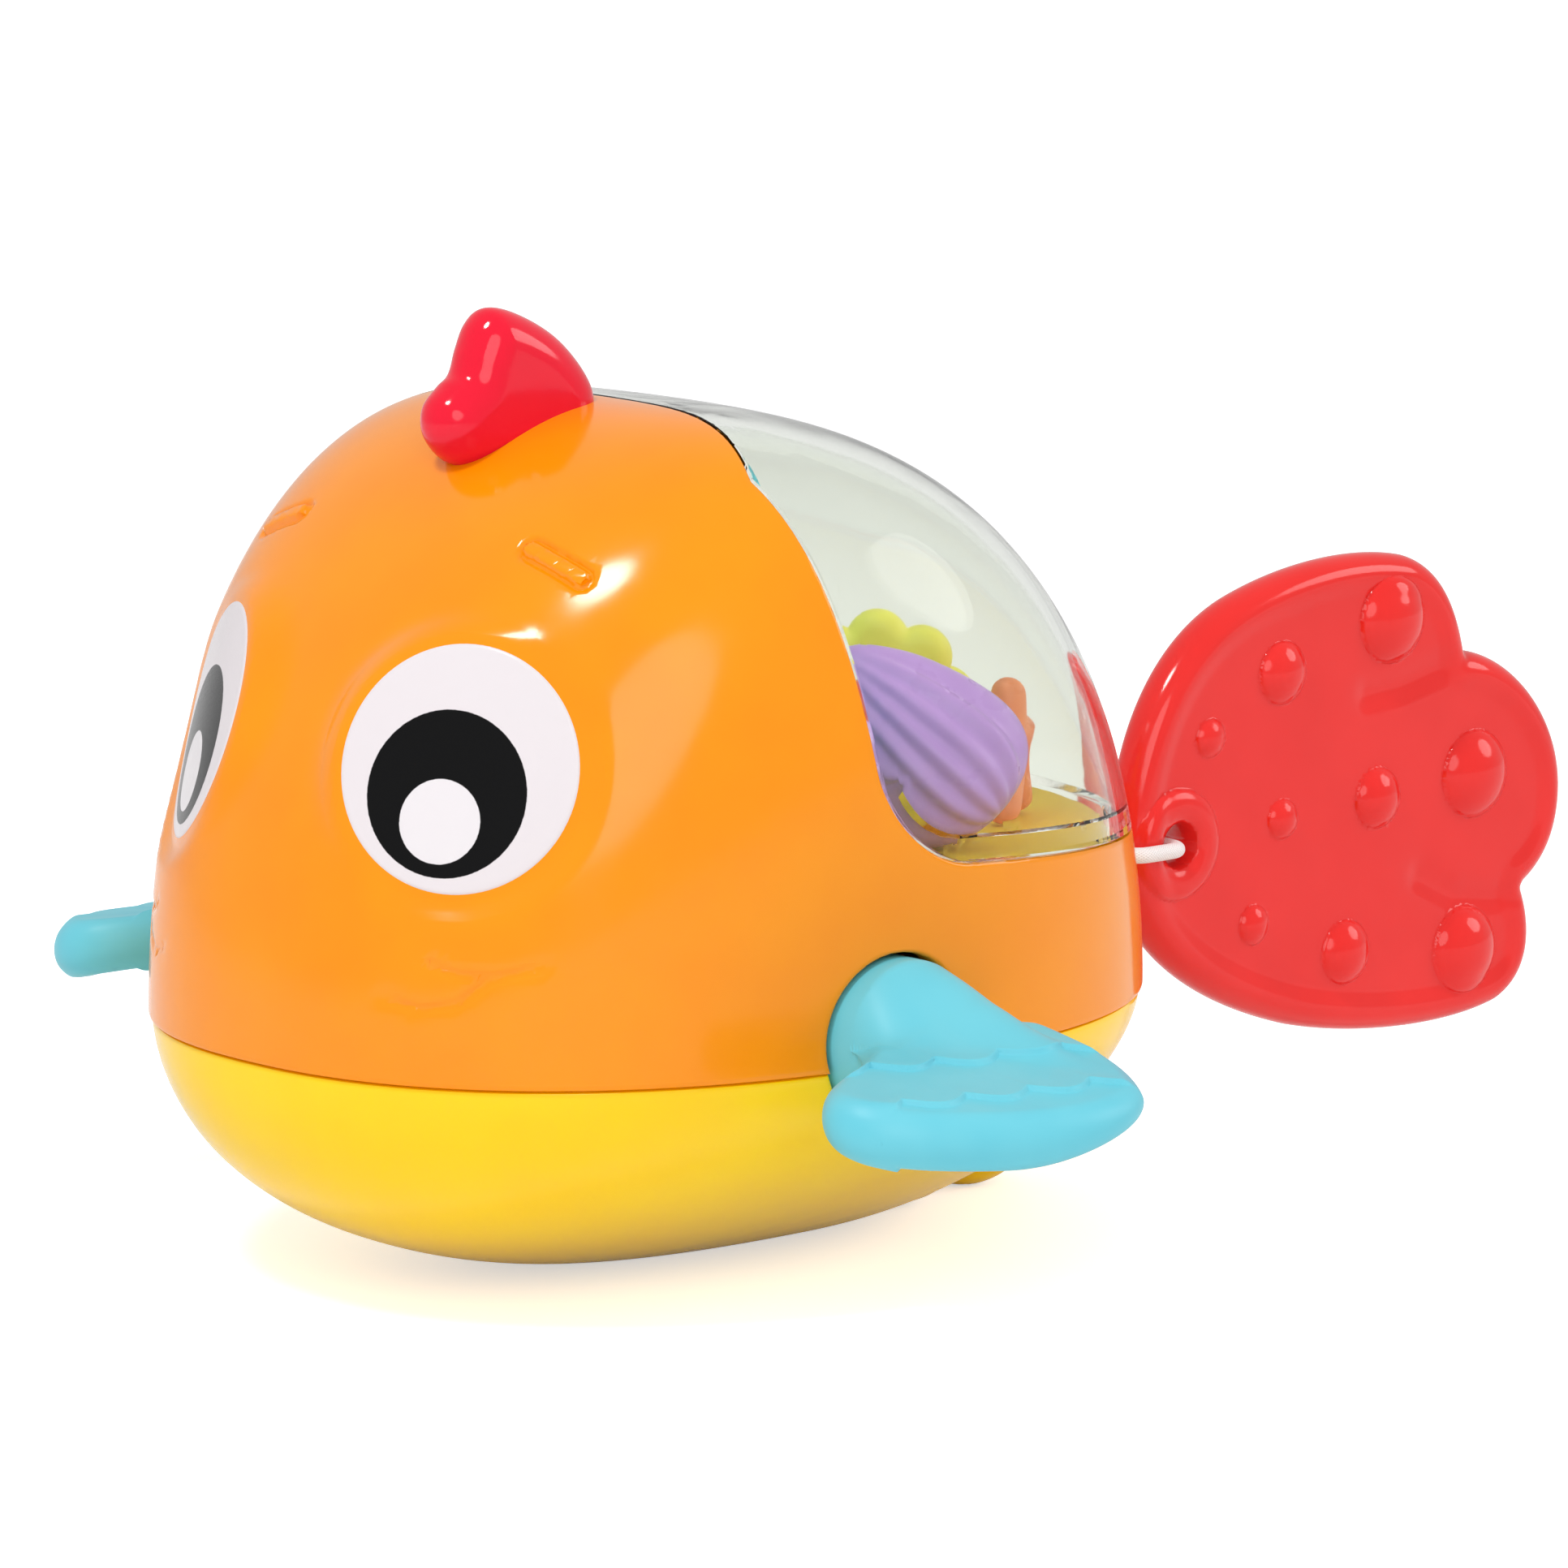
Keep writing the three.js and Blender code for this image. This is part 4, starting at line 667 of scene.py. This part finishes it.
makeShell()
makeDome()
makeWallEdge()
makeHull()
makeEye(-1)
makeEye(1)
print("body made")


# Flat pieces

# a closed chain of cubic curves sampled evenly in their parameter
def bezierChain(start, curves, steps):
    t = np.linspace(0, 1, steps, endpoint=False)[:, None]
    points, here = [], np.array(start, float)
    for b, c, d in curves:
        b, c, d = (np.array(q, float) for q in (b, c, d))
        points.append((1 - t) ** 3 * here + 3 * t * (1 - t) ** 2 * b + 3 * t ** 2 * (1 - t) * c + t ** 3 * d)
        here = d
    return np.concatenate(points)


# a closed smooth curve through points, by the four-point rule
def smoothLoop(points, steps):
    p = np.asarray(points, float)
    t = np.linspace(0, 1, steps, endpoint=False)[None, :, None]
    a, b, c, d = (np.roll(p, k, 0)[:, None] for k in (1, 0, -1, -2))
    bend = (2 * a - 5 * b + 4 * c - d) * t ** 2 + (3 * b - a - 3 * c + d) * t ** 3
    return (0.5 * (2 * b + (c - a) * t + bend)).reshape(-1, 2)


# a closed chain resampled at equal steps of length
def evenly(loop, count):
    closed = np.concatenate([loop, loop[:1]])
    run = np.concatenate([[0], np.cumsum(np.linalg.norm(np.diff(closed, axis=0), axis=1))])
    at = np.linspace(0, run[-1], count, endpoint=False)
    return np.stack([np.interp(at, run, closed[:, k]) for k in (0, 1)], 1)


# rings that shrink from an outline to a centre, closer together near the rim, as flat points and triangles
def outlineDisc(outline, centre, rings, crowding=1.8):
    share = 1 - np.linspace(0, 1, rings, endpoint=False) ** crowding
    flat = np.array(centre) + share[:, None, None] * (outline - np.array(centre))
    flat = np.concatenate([flat.reshape(-1, 2), [centre]])
    count = len(outline)
    last = np.arange(count) + (rings - 1) * count
    return flat, np.concatenate([gridTriangles(rings, count), fan(last, rings * count)])


# distance from flat points to a closed outline, with the points on it set to nothing
def rimDistance(flat, outline):
    distance = lineDistance(flat, np.concatenate([outline, outline[:1]]))
    distance[distance < 1e-3] = 0
    return distance


# a field: the distance of flat points from one place
def awayFrom(x, z):
    return lambda p: np.hypot(p[:, 0] - x, p[:, 1] - z)


# both faces of a flat piece from one face's heights, joined where the height is nothing and round any hole
def bothFaces(flat, triangles, height):
    count = len(flat)
    top = np.stack([flat[:, 0], -height, flat[:, 1]], 1)
    under = np.stack([flat[:, 0], height, flat[:, 1]], 1)
    joined = np.where(height < 1e-4, np.arange(count), np.arange(count) + count)
    a, b = openEdges(triangles).T
    rim = np.concatenate([np.stack([b, a, joined[a]], 1), np.stack([b, joined[a], joined[b]], 1)])
    rim = rim[(rim[:, 0] != rim[:, 1]) & (rim[:, 1] != rim[:, 2]) & (rim[:, 0] != rim[:, 2])]
    faces = np.concatenate([triangles, joined[triangles[:, ::-1]], rim])
    used, index = np.unique(faces, return_inverse=True)
    return np.concatenate([top, under])[used], index.reshape(-1, 3)


# the outline is in shares of the length and the height; dots are places along and up with their radius
tail = dict(front=83.5, length=84.5, height=68.0, z=body["seam"] + 9.0, half=3.5, edge=3.0, dish=0.5,
            dishRun=3, eyelet=(92.0, 41.4), hole=3.2, ringRadius=5.3, ringHalf=2.375, ringRise=1.3, ringFade=1.5,
            dotRise=0.55, dotFoot=1.14, dotPower=0.72, valleyWide=2.2, valleyDeep=0.55, valleyFade=(0.5, 4),
            curves=[((0, 0.1912), (0.0769, 0.3971), (0.2426, 0.4735)),
                    ((0.3728, 0.5294), (0.5266, 0.5441), (0.6331, 0.5147)),
                    ((0.716, 0.4853), (0.7515, 0.3971), (0.7692, 0.3015)),
                    ((0.8817, 0.2868), (1, 0.1471), (1, -0.0074)),
                    ((1, -0.1029), (0.9645, -0.1691), (0.9112, -0.2059)),
                    ((0.9467, -0.3088), (0.929, -0.4044), (0.8521, -0.4412)),
                    ((0.7396, -0.4779), (0.5266, -0.4632), (0.3728, -0.4118)),
                    ((0.1716, -0.3382), (0, -0.2059), (0, 0))],
            dots=[(98.1, 55.3, 2.4), (111.7, 62.8, 3.9), (132.8, 68.0, 5.4), (112.0, 42.6, 2.5),
                  (130.4, 43.4, 3.8), (149.5, 44.7, 5.5), (106.6, 28.6, 2.5), (124.4, 22.6, 4.0),
                  (147.8, 20.1, 5.4)],
            valleys=[[(149.0, 61.8), (141.6, 60.2), (135.0, 58.8), (128.5, 58.3)],
                     [(160.7, 26.9), (153.9, 26.9), (146, 28), (139, 31.5)]],
            centre=(128.0, 43.0), curveSteps=60, sides=420, rings=84,
            ringSteps=(3.2, 3.6, 4.4, 5.3, 6.4, 7.3, 7.8), dotSteps=(0.5, 0.8, 1.0, 1.08, 1.14))


def tailPlace(share):
    return np.array([tail["front"] + share[0] * tail["length"], tail["z"] + share[1] * tail["height"]])


# the tail's half thickness: rounded at the rim, slightly dished inside it, with valleys between the lobes,
# domed dots and a round bead about the eyelet
def tailHeight(flat, distance):
    t = tail
    dish = t["dish"] * smoothStep(t["edge"], t["edge"] + t["dishRun"], distance)
    height = t["half"] * quarterRound(distance, t["edge"]) - dish
    for chain in t["valleys"]:
        valley = np.exp(-(lineDistance(flat, chain) / t["valleyWide"]) ** 2)
        height -= t["valleyDeep"] * valley * smoothStep(*t["valleyFade"], distance)
    for x, z, radius in t["dots"]:
        share = awayFrom(x, z)(flat) / radius
        height += t["dotRise"] * radius * np.maximum(1 - (share / t["dotFoot"]) ** 2, 0) ** t["dotPower"]
    off = (awayFrom(*t["eyelet"])(flat) - t["ringRadius"]) / t["ringHalf"]
    bead = np.sqrt(np.maximum(1 - off ** 2, 0))
    return np.maximum(height + t["ringRise"] * bead * smoothStep(0, t["ringFade"], distance), 0)


def makeTail():
    curves = [[tailPlace(q) for q in curve] for curve in tail["curves"]]
    outline = evenly(bezierChain(tailPlace((0, 0)), curves, tail["curveSteps"]), tail["sides"])
    flat, triangles = outlineDisc(outline, tail["centre"], tail["rings"])
    eyelet = awayFrom(*tail["eyelet"])
    steps = [(eyelet, level) for level in tail["ringSteps"]]
    steps += [(awayFrom(x, z), radius * share) for x, z, radius in tail["dots"] for share in tail["dotSteps"]]
    for field, level in steps:
        flat, triangles = splitAt(flat, triangles, field, level)
    flat, triangles = keepWhere(flat, triangles, lambda p: eyelet(p) > tail["hole"])
    height = tailHeight(flat, rimDistance(flat, outline))
    points, triangles = bothFaces(flat, triangles, height)
    return addPiece("tail_skin", points, triangles, redVinyl, "tail", ["tail_paddle"], sharp=60)


crest = dict(outline=[(-35.2, 108.8), (-34.6, 111.6), (-32.4, 113.8), (-30.6, 115.2), (-29.6, 118.0),
                      (-28.0, 121.2), (-25.4, 122.9), (-21.0, 121.8), (-15.6, 118.8), (-11.4, 114.6),
                      (-9.6, 110.8), (-10.5, 106.5), (-17.0, 104.0), (-26.0, 102.8), (-31.5, 103.8),
                      (-34.3, 106.2)],
             half=4.6, edge=5.0, centre=(-22.0, 110.0), curveSteps=24, sides=300, rings=44)


# a comb whose thickness is a quarter round from its rim
def makeCrest():
    outline = evenly(smoothLoop(crest["outline"], crest["curveSteps"]), crest["sides"])[::-1]
    flat, triangles = outlineDisc(outline, crest["centre"], crest["rings"])
    height = crest["half"] * quarterRound(rimDistance(flat, outline), crest["edge"])
    points, triangles = bothFaces(flat, triangles[:, ::-1], height)
    return addPiece("crest_comb", points, triangles, crestVinyl, "body", ["crest"], sharp=80)


makeTail()
makeCrest()
print("tail and crest made")


# Fins

# u runs forward from the axle and v outward from the root; each row of scales is a base, a slope and a shift
fin = dict(root=57.0, half=3.6, tipHalf=2.1, sink=0.7, tipSink=-1.3, taper=(12, -15), edge=2.6,
           slabFade=(-1, 9), hubRun=17, hubRunMore=13, hubSide=(2, -8), hubPower=1.1, droop=10.0,
           droopFade=(0, 8), sinkFade=(0, 10), scale=9.0, scaleDeep=2.3, rowRise=0.65, rowDrop=0.5,
           rowStart=0.02, rowRim=(0.8, 3.0), rowRoot=(5, 9), rowSteps=(-0.1, 0.15, 0.5),
           rows=[(-9.0, 0.1, 0.0), (2.2, 0.1, 1.5), (15.0, 0.2, 4.0), (26.4, 0.15, 0.0)],
           start=(-10.2, 0), centre=(3.0, 12.0), curveSteps=60, sides=360, rings=60,
           curves=[((-11.5, 1), (-14.0, 3), (-14.6, 6)), ((-15.4, 15), (-15, 24), (-10, 31)),
                   ((-5, 35.5), (5, 35), (13, 32.5)), ((22, 29.5), (30, 25), (29.5, 18.5)),
                   ((29, 13), (22, 11.5), (16, 8)), ((13, 6), (11, 4), (10, 0)),
                   ((10, -4), (10, -8), (10, -11)), ((4, -11), (-4, -11), (-10, -11)),
                   ((-10, -8), (-10, -4), (-10.2, 0))])


# the outer edge of a row of scales: a sloping line with a round bulge for each scale
def scaleEdge(u, row):
    base, slope, shift = fin["rows"][row]
    return base - slope * u + fin["scaleDeep"] * np.abs(np.cos(math.pi * (u - shift) / fin["scale"]))


# half thickness: a round hub that fades into a slab with a rounded rim, each row of scales rising to its edge
def finHeight(flat, distance):
    f = fin
    u, v = flat.T
    half = f["half"] + (f["tipHalf"] - f["half"]) * smoothStep(*f["taper"], u)
    slab = half * quarterRound(distance, f["edge"]) * smoothStep(*f["slabFade"], v)
    run = f["hubRun"] + f["hubRunMore"] * smoothStep(*f["hubSide"], u)
    hub = np.sqrt(np.maximum(axle["hub"] ** 2 - u ** 2, 0)) * np.clip(1 - v / run, 0, 1) ** f["hubPower"]
    rise = np.zeros(len(u))
    for row in range(1, len(f["rows"])):
        low, high = scaleEdge(u, row - 1), scaleEdge(u, row)
        share = (v - low) / (high - low)
        climb = np.clip(share, 0, 1) ** 2 * (1 - smoothStep(0, f["rowDrop"], v - high))
        rise += f["rowRise"] * np.where(share > f["rowStart"], climb, 0)
    rise *= smoothStep(*f["rowRim"], distance) * smoothStep(*f["rowRoot"], v)
    return (slab ** 3 + hub ** 3) ** (1 / 3) + rise


# the flat fin laid level and drooping outward, its underside rising toward the thin rear end
def makeFin(side):
    f = fin
    outline = evenly(bezierChain(f["start"], f["curves"], f["curveSteps"]), f["sides"])
    flat, triangles = outlineDisc(outline, f["centre"], f["rings"])
    for row in range(1, len(f["rows"])):
        for level in f["rowSteps"]:
            flat, triangles = splitAt(flat, triangles, lambda p: p[:, 1] - scaleEdge(p[:, 0], row), level)
    points, triangles = bothFaces(flat, triangles, finHeight(flat, rimDistance(flat, outline)))
    u, height, v = points.T
    outward = np.where(v > 0, v * smoothStep(*f["droopFade"], v), 0)
    sink = f["sink"] + (f["tipSink"] - f["sink"]) * smoothStep(*f["taper"], u)
    fall = math.tan(math.radians(f["droop"])) * outward + sink * smoothStep(*f["sinkFade"], v)
    points = np.stack([axle["x"] - u, -f["root"] - v, axle["z"] - height - fall], 1)
    name = "left_fin" if side < 0 else "right_fin"
    if side > 0:
        points, triangles = mirrored(points, triangles)
    return addPiece(name + "_skin", points, triangles, tealPolythene, "fins", [name], sharp=50)


makeFin(-1)
makeFin(1)
print("fins made")


# Cord

cord = dict(radius=1.1, z=41.4, start=19.6, end=77.4, rings=140, strandRise=0.03, strandPitch=1.8, held=2.0)
loop = dict(front=81.8, back=90.5, half=5.9, power=0.4, radius=0.98 * cord["radius"], rings=160)
knot = dict(x=78.85, radius=2.4, half=3.4, power=2.6, least=0.06, lump=0.07, lumps=3, rings=40)


# a tube of rings round a path, with the ring's two directions given, UV in millimetres along and round it
def tube(path, across, up, radius, closed=False, sides=24):
    angle = roundAngles(sides)
    ring = np.cos(angle)[None, :, None] * across[:, None] + np.sin(angle)[None, :, None] * up[:, None]
    points = path[:, None] + ring * np.broadcast_to(radius, len(path))[:, None, None]
    run = np.concatenate([[0], np.cumsum(np.linalg.norm(np.diff(path, axis=0), axis=1))])
    uv = np.stack(np.broadcast_arrays(run[:, None], angle[None, :] * cord["radius"]), -1).reshape(-1, 2)
    count = len(path) * sides
    triangles = gridTriangles(len(path), sides)
    first, last = np.arange(sides), np.arange(sides) + count - sides
    if closed:
        step = np.roll(first, -1)
        join = [np.stack([last, np.roll(last, -1), step], 1), np.stack([last, step, first], 1)]
        return points.reshape(-1, 3), np.concatenate([triangles, *join]), uv
    points = np.concatenate([points.reshape(-1, 3), path[:1], path[-1:]])
    uv = np.concatenate([uv, [[0, 0], [run[-1], 0]]])
    return points, np.concatenate([triangles, fan(first, count, False), fan(last, count + 1)]), uv


# a straight tube along the body at the cord's height, its radius given at each place
def straightTube(x, radius):
    path = np.stack([x, 0 * x, 0 * x + cord["z"]], 1)
    return tube(path, np.tile([0.0, 1, 0], (len(x), 1)), np.tile([0.0, 0, 1], (len(x), 1)), radius)


# the straight cord, its radius swelling a little at each strand; it stretches between the body and the tail
def makePullCord():
    x = np.linspace(cord["start"], cord["end"], cord["rings"])
    strand = 1 + cord["strandRise"] * np.cos(fullTurn * x / cord["strandPitch"])
    points, triangles, uv = straightTube(x, cord["radius"] * strand)
    piece = addPiece("pull_cord_braid", points, triangles, cordNylon, None, ["pull_cord"], uv)
    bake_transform(piece)
    return piece


# a level squarish ring through the eyelet, and a lumpy knot where it leaves the cord
def makeCordLoop():
    angle = roundAngles(loop["rings"])
    middle, reach = (loop["front"] + loop["back"]) / 2, (loop["back"] - loop["front"]) / 2
    ring = np.stack([middle + reach * signedPower(np.cos(angle), loop["power"]),
                     loop["half"] * signedPower(np.sin(angle), loop["power"])], 1)
    path = np.concatenate([evenly(ring, loop["rings"]), np.full((loop["rings"], 1), cord["z"])], 1)
    forward = unit(np.roll(path, -1, 0) - np.roll(path, 1, 0))
    up = np.tile([0.0, 0, 1], (loop["rings"], 1))
    t = np.linspace(-1, 1, knot["rings"])
    taper = np.sqrt(np.maximum(1 - np.abs(t) ** knot["power"], knot["least"]))
    lumps = knot["radius"] * taper * (1 + knot["lump"] * np.cos(knot["lumps"] * math.pi * t))
    parts = [tube(path, np.cross(up, forward), up, loop["radius"], closed=True),
             straightTube(knot["x"] + knot["half"] * t, lumps)]
    points, triangles = joinMeshes([part[:2] for part in parts])
    uv = np.concatenate([part[2] for part in parts])
    return addPiece("cord_loop_braid", points, triangles, cordNylon, "tail", ["cord_loop"], uv)


makePullCord()
makeCordLoop()
print("cord made")


# Play pieces behind the window

# moves a piece so that it stands on the lowest level of its node, over the node's middle
def standOnNode(points, name):
    low, high = (np.array(corner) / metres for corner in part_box(name))
    points[:, :2] += (low + high)[:2] / 2
    points[:, 2] += low[2] - points[:, 2].min()
    return points


starfish = dict(arms=5, outer=10.0, inner=4.2, point=2.2, half=2.4, turn=37, shift=(0, 0))
anemone = dict(arms=9, outer=13.0, inner=11.0, point=0.8, half=2.4, turn=-41, shift=(2.0, -2.5))


# an upright disc with rounded arms: radius swings between two values round it
def makePlayDisc(name, rides, disc, finish, sides=300, rings=30):
    angle = roundAngles(sides)
    swing = np.abs(np.cos(disc["arms"] * angle / 2)) ** disc["point"]
    radius = disc["inner"] + (disc["outer"] - disc["inner"]) * swing
    outline = np.stack([radius * np.sin(angle), radius * np.cos(angle)], 1)[::-1]
    flat, triangles = outlineDisc(outline, (0.0, 0.0), rings)
    height = disc["half"] * quarterRound(rimDistance(flat, outline), disc["half"])
    points, triangles = bothFaces(flat, triangles, height)
    c, s = math.cos(math.radians(disc["turn"])), math.sin(math.radians(disc["turn"]))
    x, y, z = points.T
    points = standOnNode(np.stack([x * c - y * s, x * s + y * c, z], 1), name)
    points[:, :2] += np.array(disc["shift"])
    return addPiece(name + "_skin", points, triangles, finish, rides, [name], sharp=70)


scallop = dict(axis=(0.54, -0.48, -0.69), wide=(0.6, -0.37, 0.71), length=29.0, halfWide=12.5, halfThick=9.5,
               ribs=3, ribDeep=0.045, ribFade=(0, 0.3), crowding=1.2, fullness=1.06, hinge=0.45, rim=5,
               rows=70, sides=180, shift=(0.5, -1.0, 0.0))


# a shell that is pointed at its hinge and blunt at its rim, with ribs that fan out from the hinge
def makeScallop():
    s = scallop
    sides = s["sides"]
    axis = unit(s["axis"])
    wide = unit(np.array(s["wide"]) - np.dot(s["wide"], axis) * axis)
    thick = np.cross(axis, wide)
    t = np.sin(np.linspace(0, math.pi / 2, s["rows"]))[1:-1, None] ** s["crowding"]
    angle = roundAngles(sides)[None, :]
    swell = s["fullness"] * t ** s["hinge"] * np.sqrt(np.maximum(1 - t ** s["rim"], 0))
    rib = 1 + s["ribDeep"] * smoothStep(*s["ribFade"], t) * np.cos(fullTurn * s["ribs"] * np.cos(angle))
    a, b = s["halfWide"] * swell * np.cos(angle) * rib, s["halfThick"] * swell * np.sin(angle) * rib
    along = s["length"] * (t - 0.5) + 0 * angle
    points = along[..., None] * axis + a[..., None] * wide + b[..., None] * thick
    end = 0.5 * s["length"] * axis
    points = np.concatenate([points.reshape(-1, 3), [-end, end]])
    count = len(t) * sides
    first, last = np.arange(sides), np.arange(sides) + count - sides
    ends = [fan(first, count, False), fan(last, count + 1)]
    triangles = np.concatenate([gridTriangles(len(t), sides), *ends])
    points = standOnNode(points, "scallop_rattle") + np.array(s["shift"])
    return addPiece("scallop_skin", points, triangles, purpleAbs, "scallop", ["scallop_rattle"], sharp=80)


makePlayDisc("starfish_rattle", "starfish", starfish, salmonAbs)
makePlayDisc("anemone_rattle", "anemone", anemone, yellowPlay)
makeScallop()
print("play pieces made")


# Floor, camera and light, in metres

# one for rays from the camera, and a share of it for rays through the clear skin and off gloss
def seenRays(tree, clear, gloss):
    path = addNode(tree, "ShaderNodeLightPath").outputs
    seen = path["Is Camera Ray"]
    for ray, share in (("Is Transmission Ray", clear), ("Is Glossy Ray", gloss)):
        part = addNode(tree, "ShaderNodeMath", {"operation": "MULTIPLY", 1: share}, {0: path[ray]})
        most = addNode(tree, "ShaderNodeMath", {"operation": "MAXIMUM"}, {0: seen, 1: part.outputs[0]})
        seen = most.outputs[0]
    return seen


# turns an object so that it looks away from the given direction, with its top upward
def aim(thing, place, back):
    right = unit(np.cross((0, 0, 1), back))
    matrix = np.eye(4)
    matrix[:3] = np.stack([right, np.cross(back, right), back, place], 1)
    thing.matrix_world = Matrix(matrix.tolist())


# the glow is full for the camera, less through the window so that its tint shows, and little for gloss
paperFloor = dict(half=3.0, glow=0.55, clear=0.5, gloss=0.15)
floorMesh = bpy.data.meshes.new("floor")
reach = paperFloor["half"]
floorCorners = [(-reach, -reach, 0), (reach, -reach, 0), (reach, reach, 0), (-reach, reach, 0)]
floorMesh.from_pydata(floorCorners, [], [(0, 1, 2, 3)])
floor = bpy.data.objects.new("floor", floorMesh)
bpy.context.scene.collection.objects.link(floor)
paper, paperTree, paperShader = newFinish("white_paper")
paperShader.inputs["Base Color"].default_value = linear("#f6f6f6")
paperShader.inputs["Roughness"].default_value = 0.9
paperShader.inputs["Emission Color"].default_value = (1, 1, 1, 1)
paperSeen = seenRays(paperTree, paperFloor["clear"], paperFloor["gloss"])
paperGlow = addNode(paperTree, "ShaderNodeMath", {"operation": "MULTIPLY", 1: paperFloor["glow"]},
                    {0: paperSeen})
paperTree.links.new(paperGlow.outputs[0], paperShader.inputs["Emission Strength"])
floorMesh.materials.append(paper)

# the photograph's view, for an image of 1932 by 1932
camera = dict(place=(-0.7032, -0.8193, 0.2450), look=(0.654, 0.737, -0.169), lens=196.97, sensor=36.0,
              clip=(0.01, 20))
lens = bpy.data.cameras.new("camera")
lens.lens, lens.sensor_width, lens.sensor_fit = camera["lens"], camera["sensor"], "AUTO"
lens.clip_start, lens.clip_end = camera["clip"]
viewPoint = bpy.data.objects.new("camera", lens)
bpy.context.scene.collection.objects.link(viewPoint)
aim(viewPoint, camera["place"], -unit(camera["look"]))
bpy.context.scene.camera = viewPoint


# a round soft lamp that faces the toy
def addLamp(name, place, size, watts):
    lamp = bpy.data.lights.new(name, "AREA")
    lamp.shape, lamp.size, lamp.energy = "DISK", size, watts
    holder = bpy.data.objects.new(name, lamp)
    bpy.context.scene.collection.objects.link(holder)
    aim(holder, place, unit(place))


addLamp("key", (-0.75, -0.1, 1.35), 0.3, 9)
addLamp("fill", (-0.9, -1.3, 0.7), 1.0, 7)
addLamp("side", (1.3, -0.9, 0.8), 0.8, 6)

studio = dict(light=0.6, white=1.0, clear=1.0, gloss=0.15)
world = bpy.data.worlds.new("studio")
bpy.context.scene.world = world
world.use_nodes = True
sky = world.node_tree
sky.nodes.clear()
level = addNode(sky, "ShaderNodeMapRange", mapped(0.0, 1.0, studio["light"], studio["white"]),
                {"Value": seenRays(sky, studio["clear"], studio["gloss"])})
glow = addNode(sky, "ShaderNodeBackground", {"Color": (1, 1, 1, 1)}, {"Strength": level.outputs[0]})
addNode(sky, "ShaderNodeOutputWorld", None, {"Surface": glow.outputs[0]})
bpy.context.scene.view_settings.view_transform = "Standard"
print("camera and light set")


# Finishes of the solids: those named here, steel by slot, and acetal for the rest, replaced solids among them

nodeFinishes = {"compartment_wall": tealPolythene, "compartment_tray": trayAbs, "left_fin": tealPolythene,
                "right_fin": tealPolythene, "scallop_rattle": purpleAbs, "starfish_rattle": salmonAbs,
                "anemone_rattle": yellowPlay, "pull_cord": cordNylon, "cord_loop": cordNylon,
                "cord_winding": cordNylon}
slots = {subpart["node"]: subpart["material_slot"] for subpart in frame["record"]["subparts"]}
for name, node in nodes.items():
    node.data.materials.clear()
    node.data.materials.append(nodeFinishes.get(name, steel if slots[name] == "steel" else acetal))
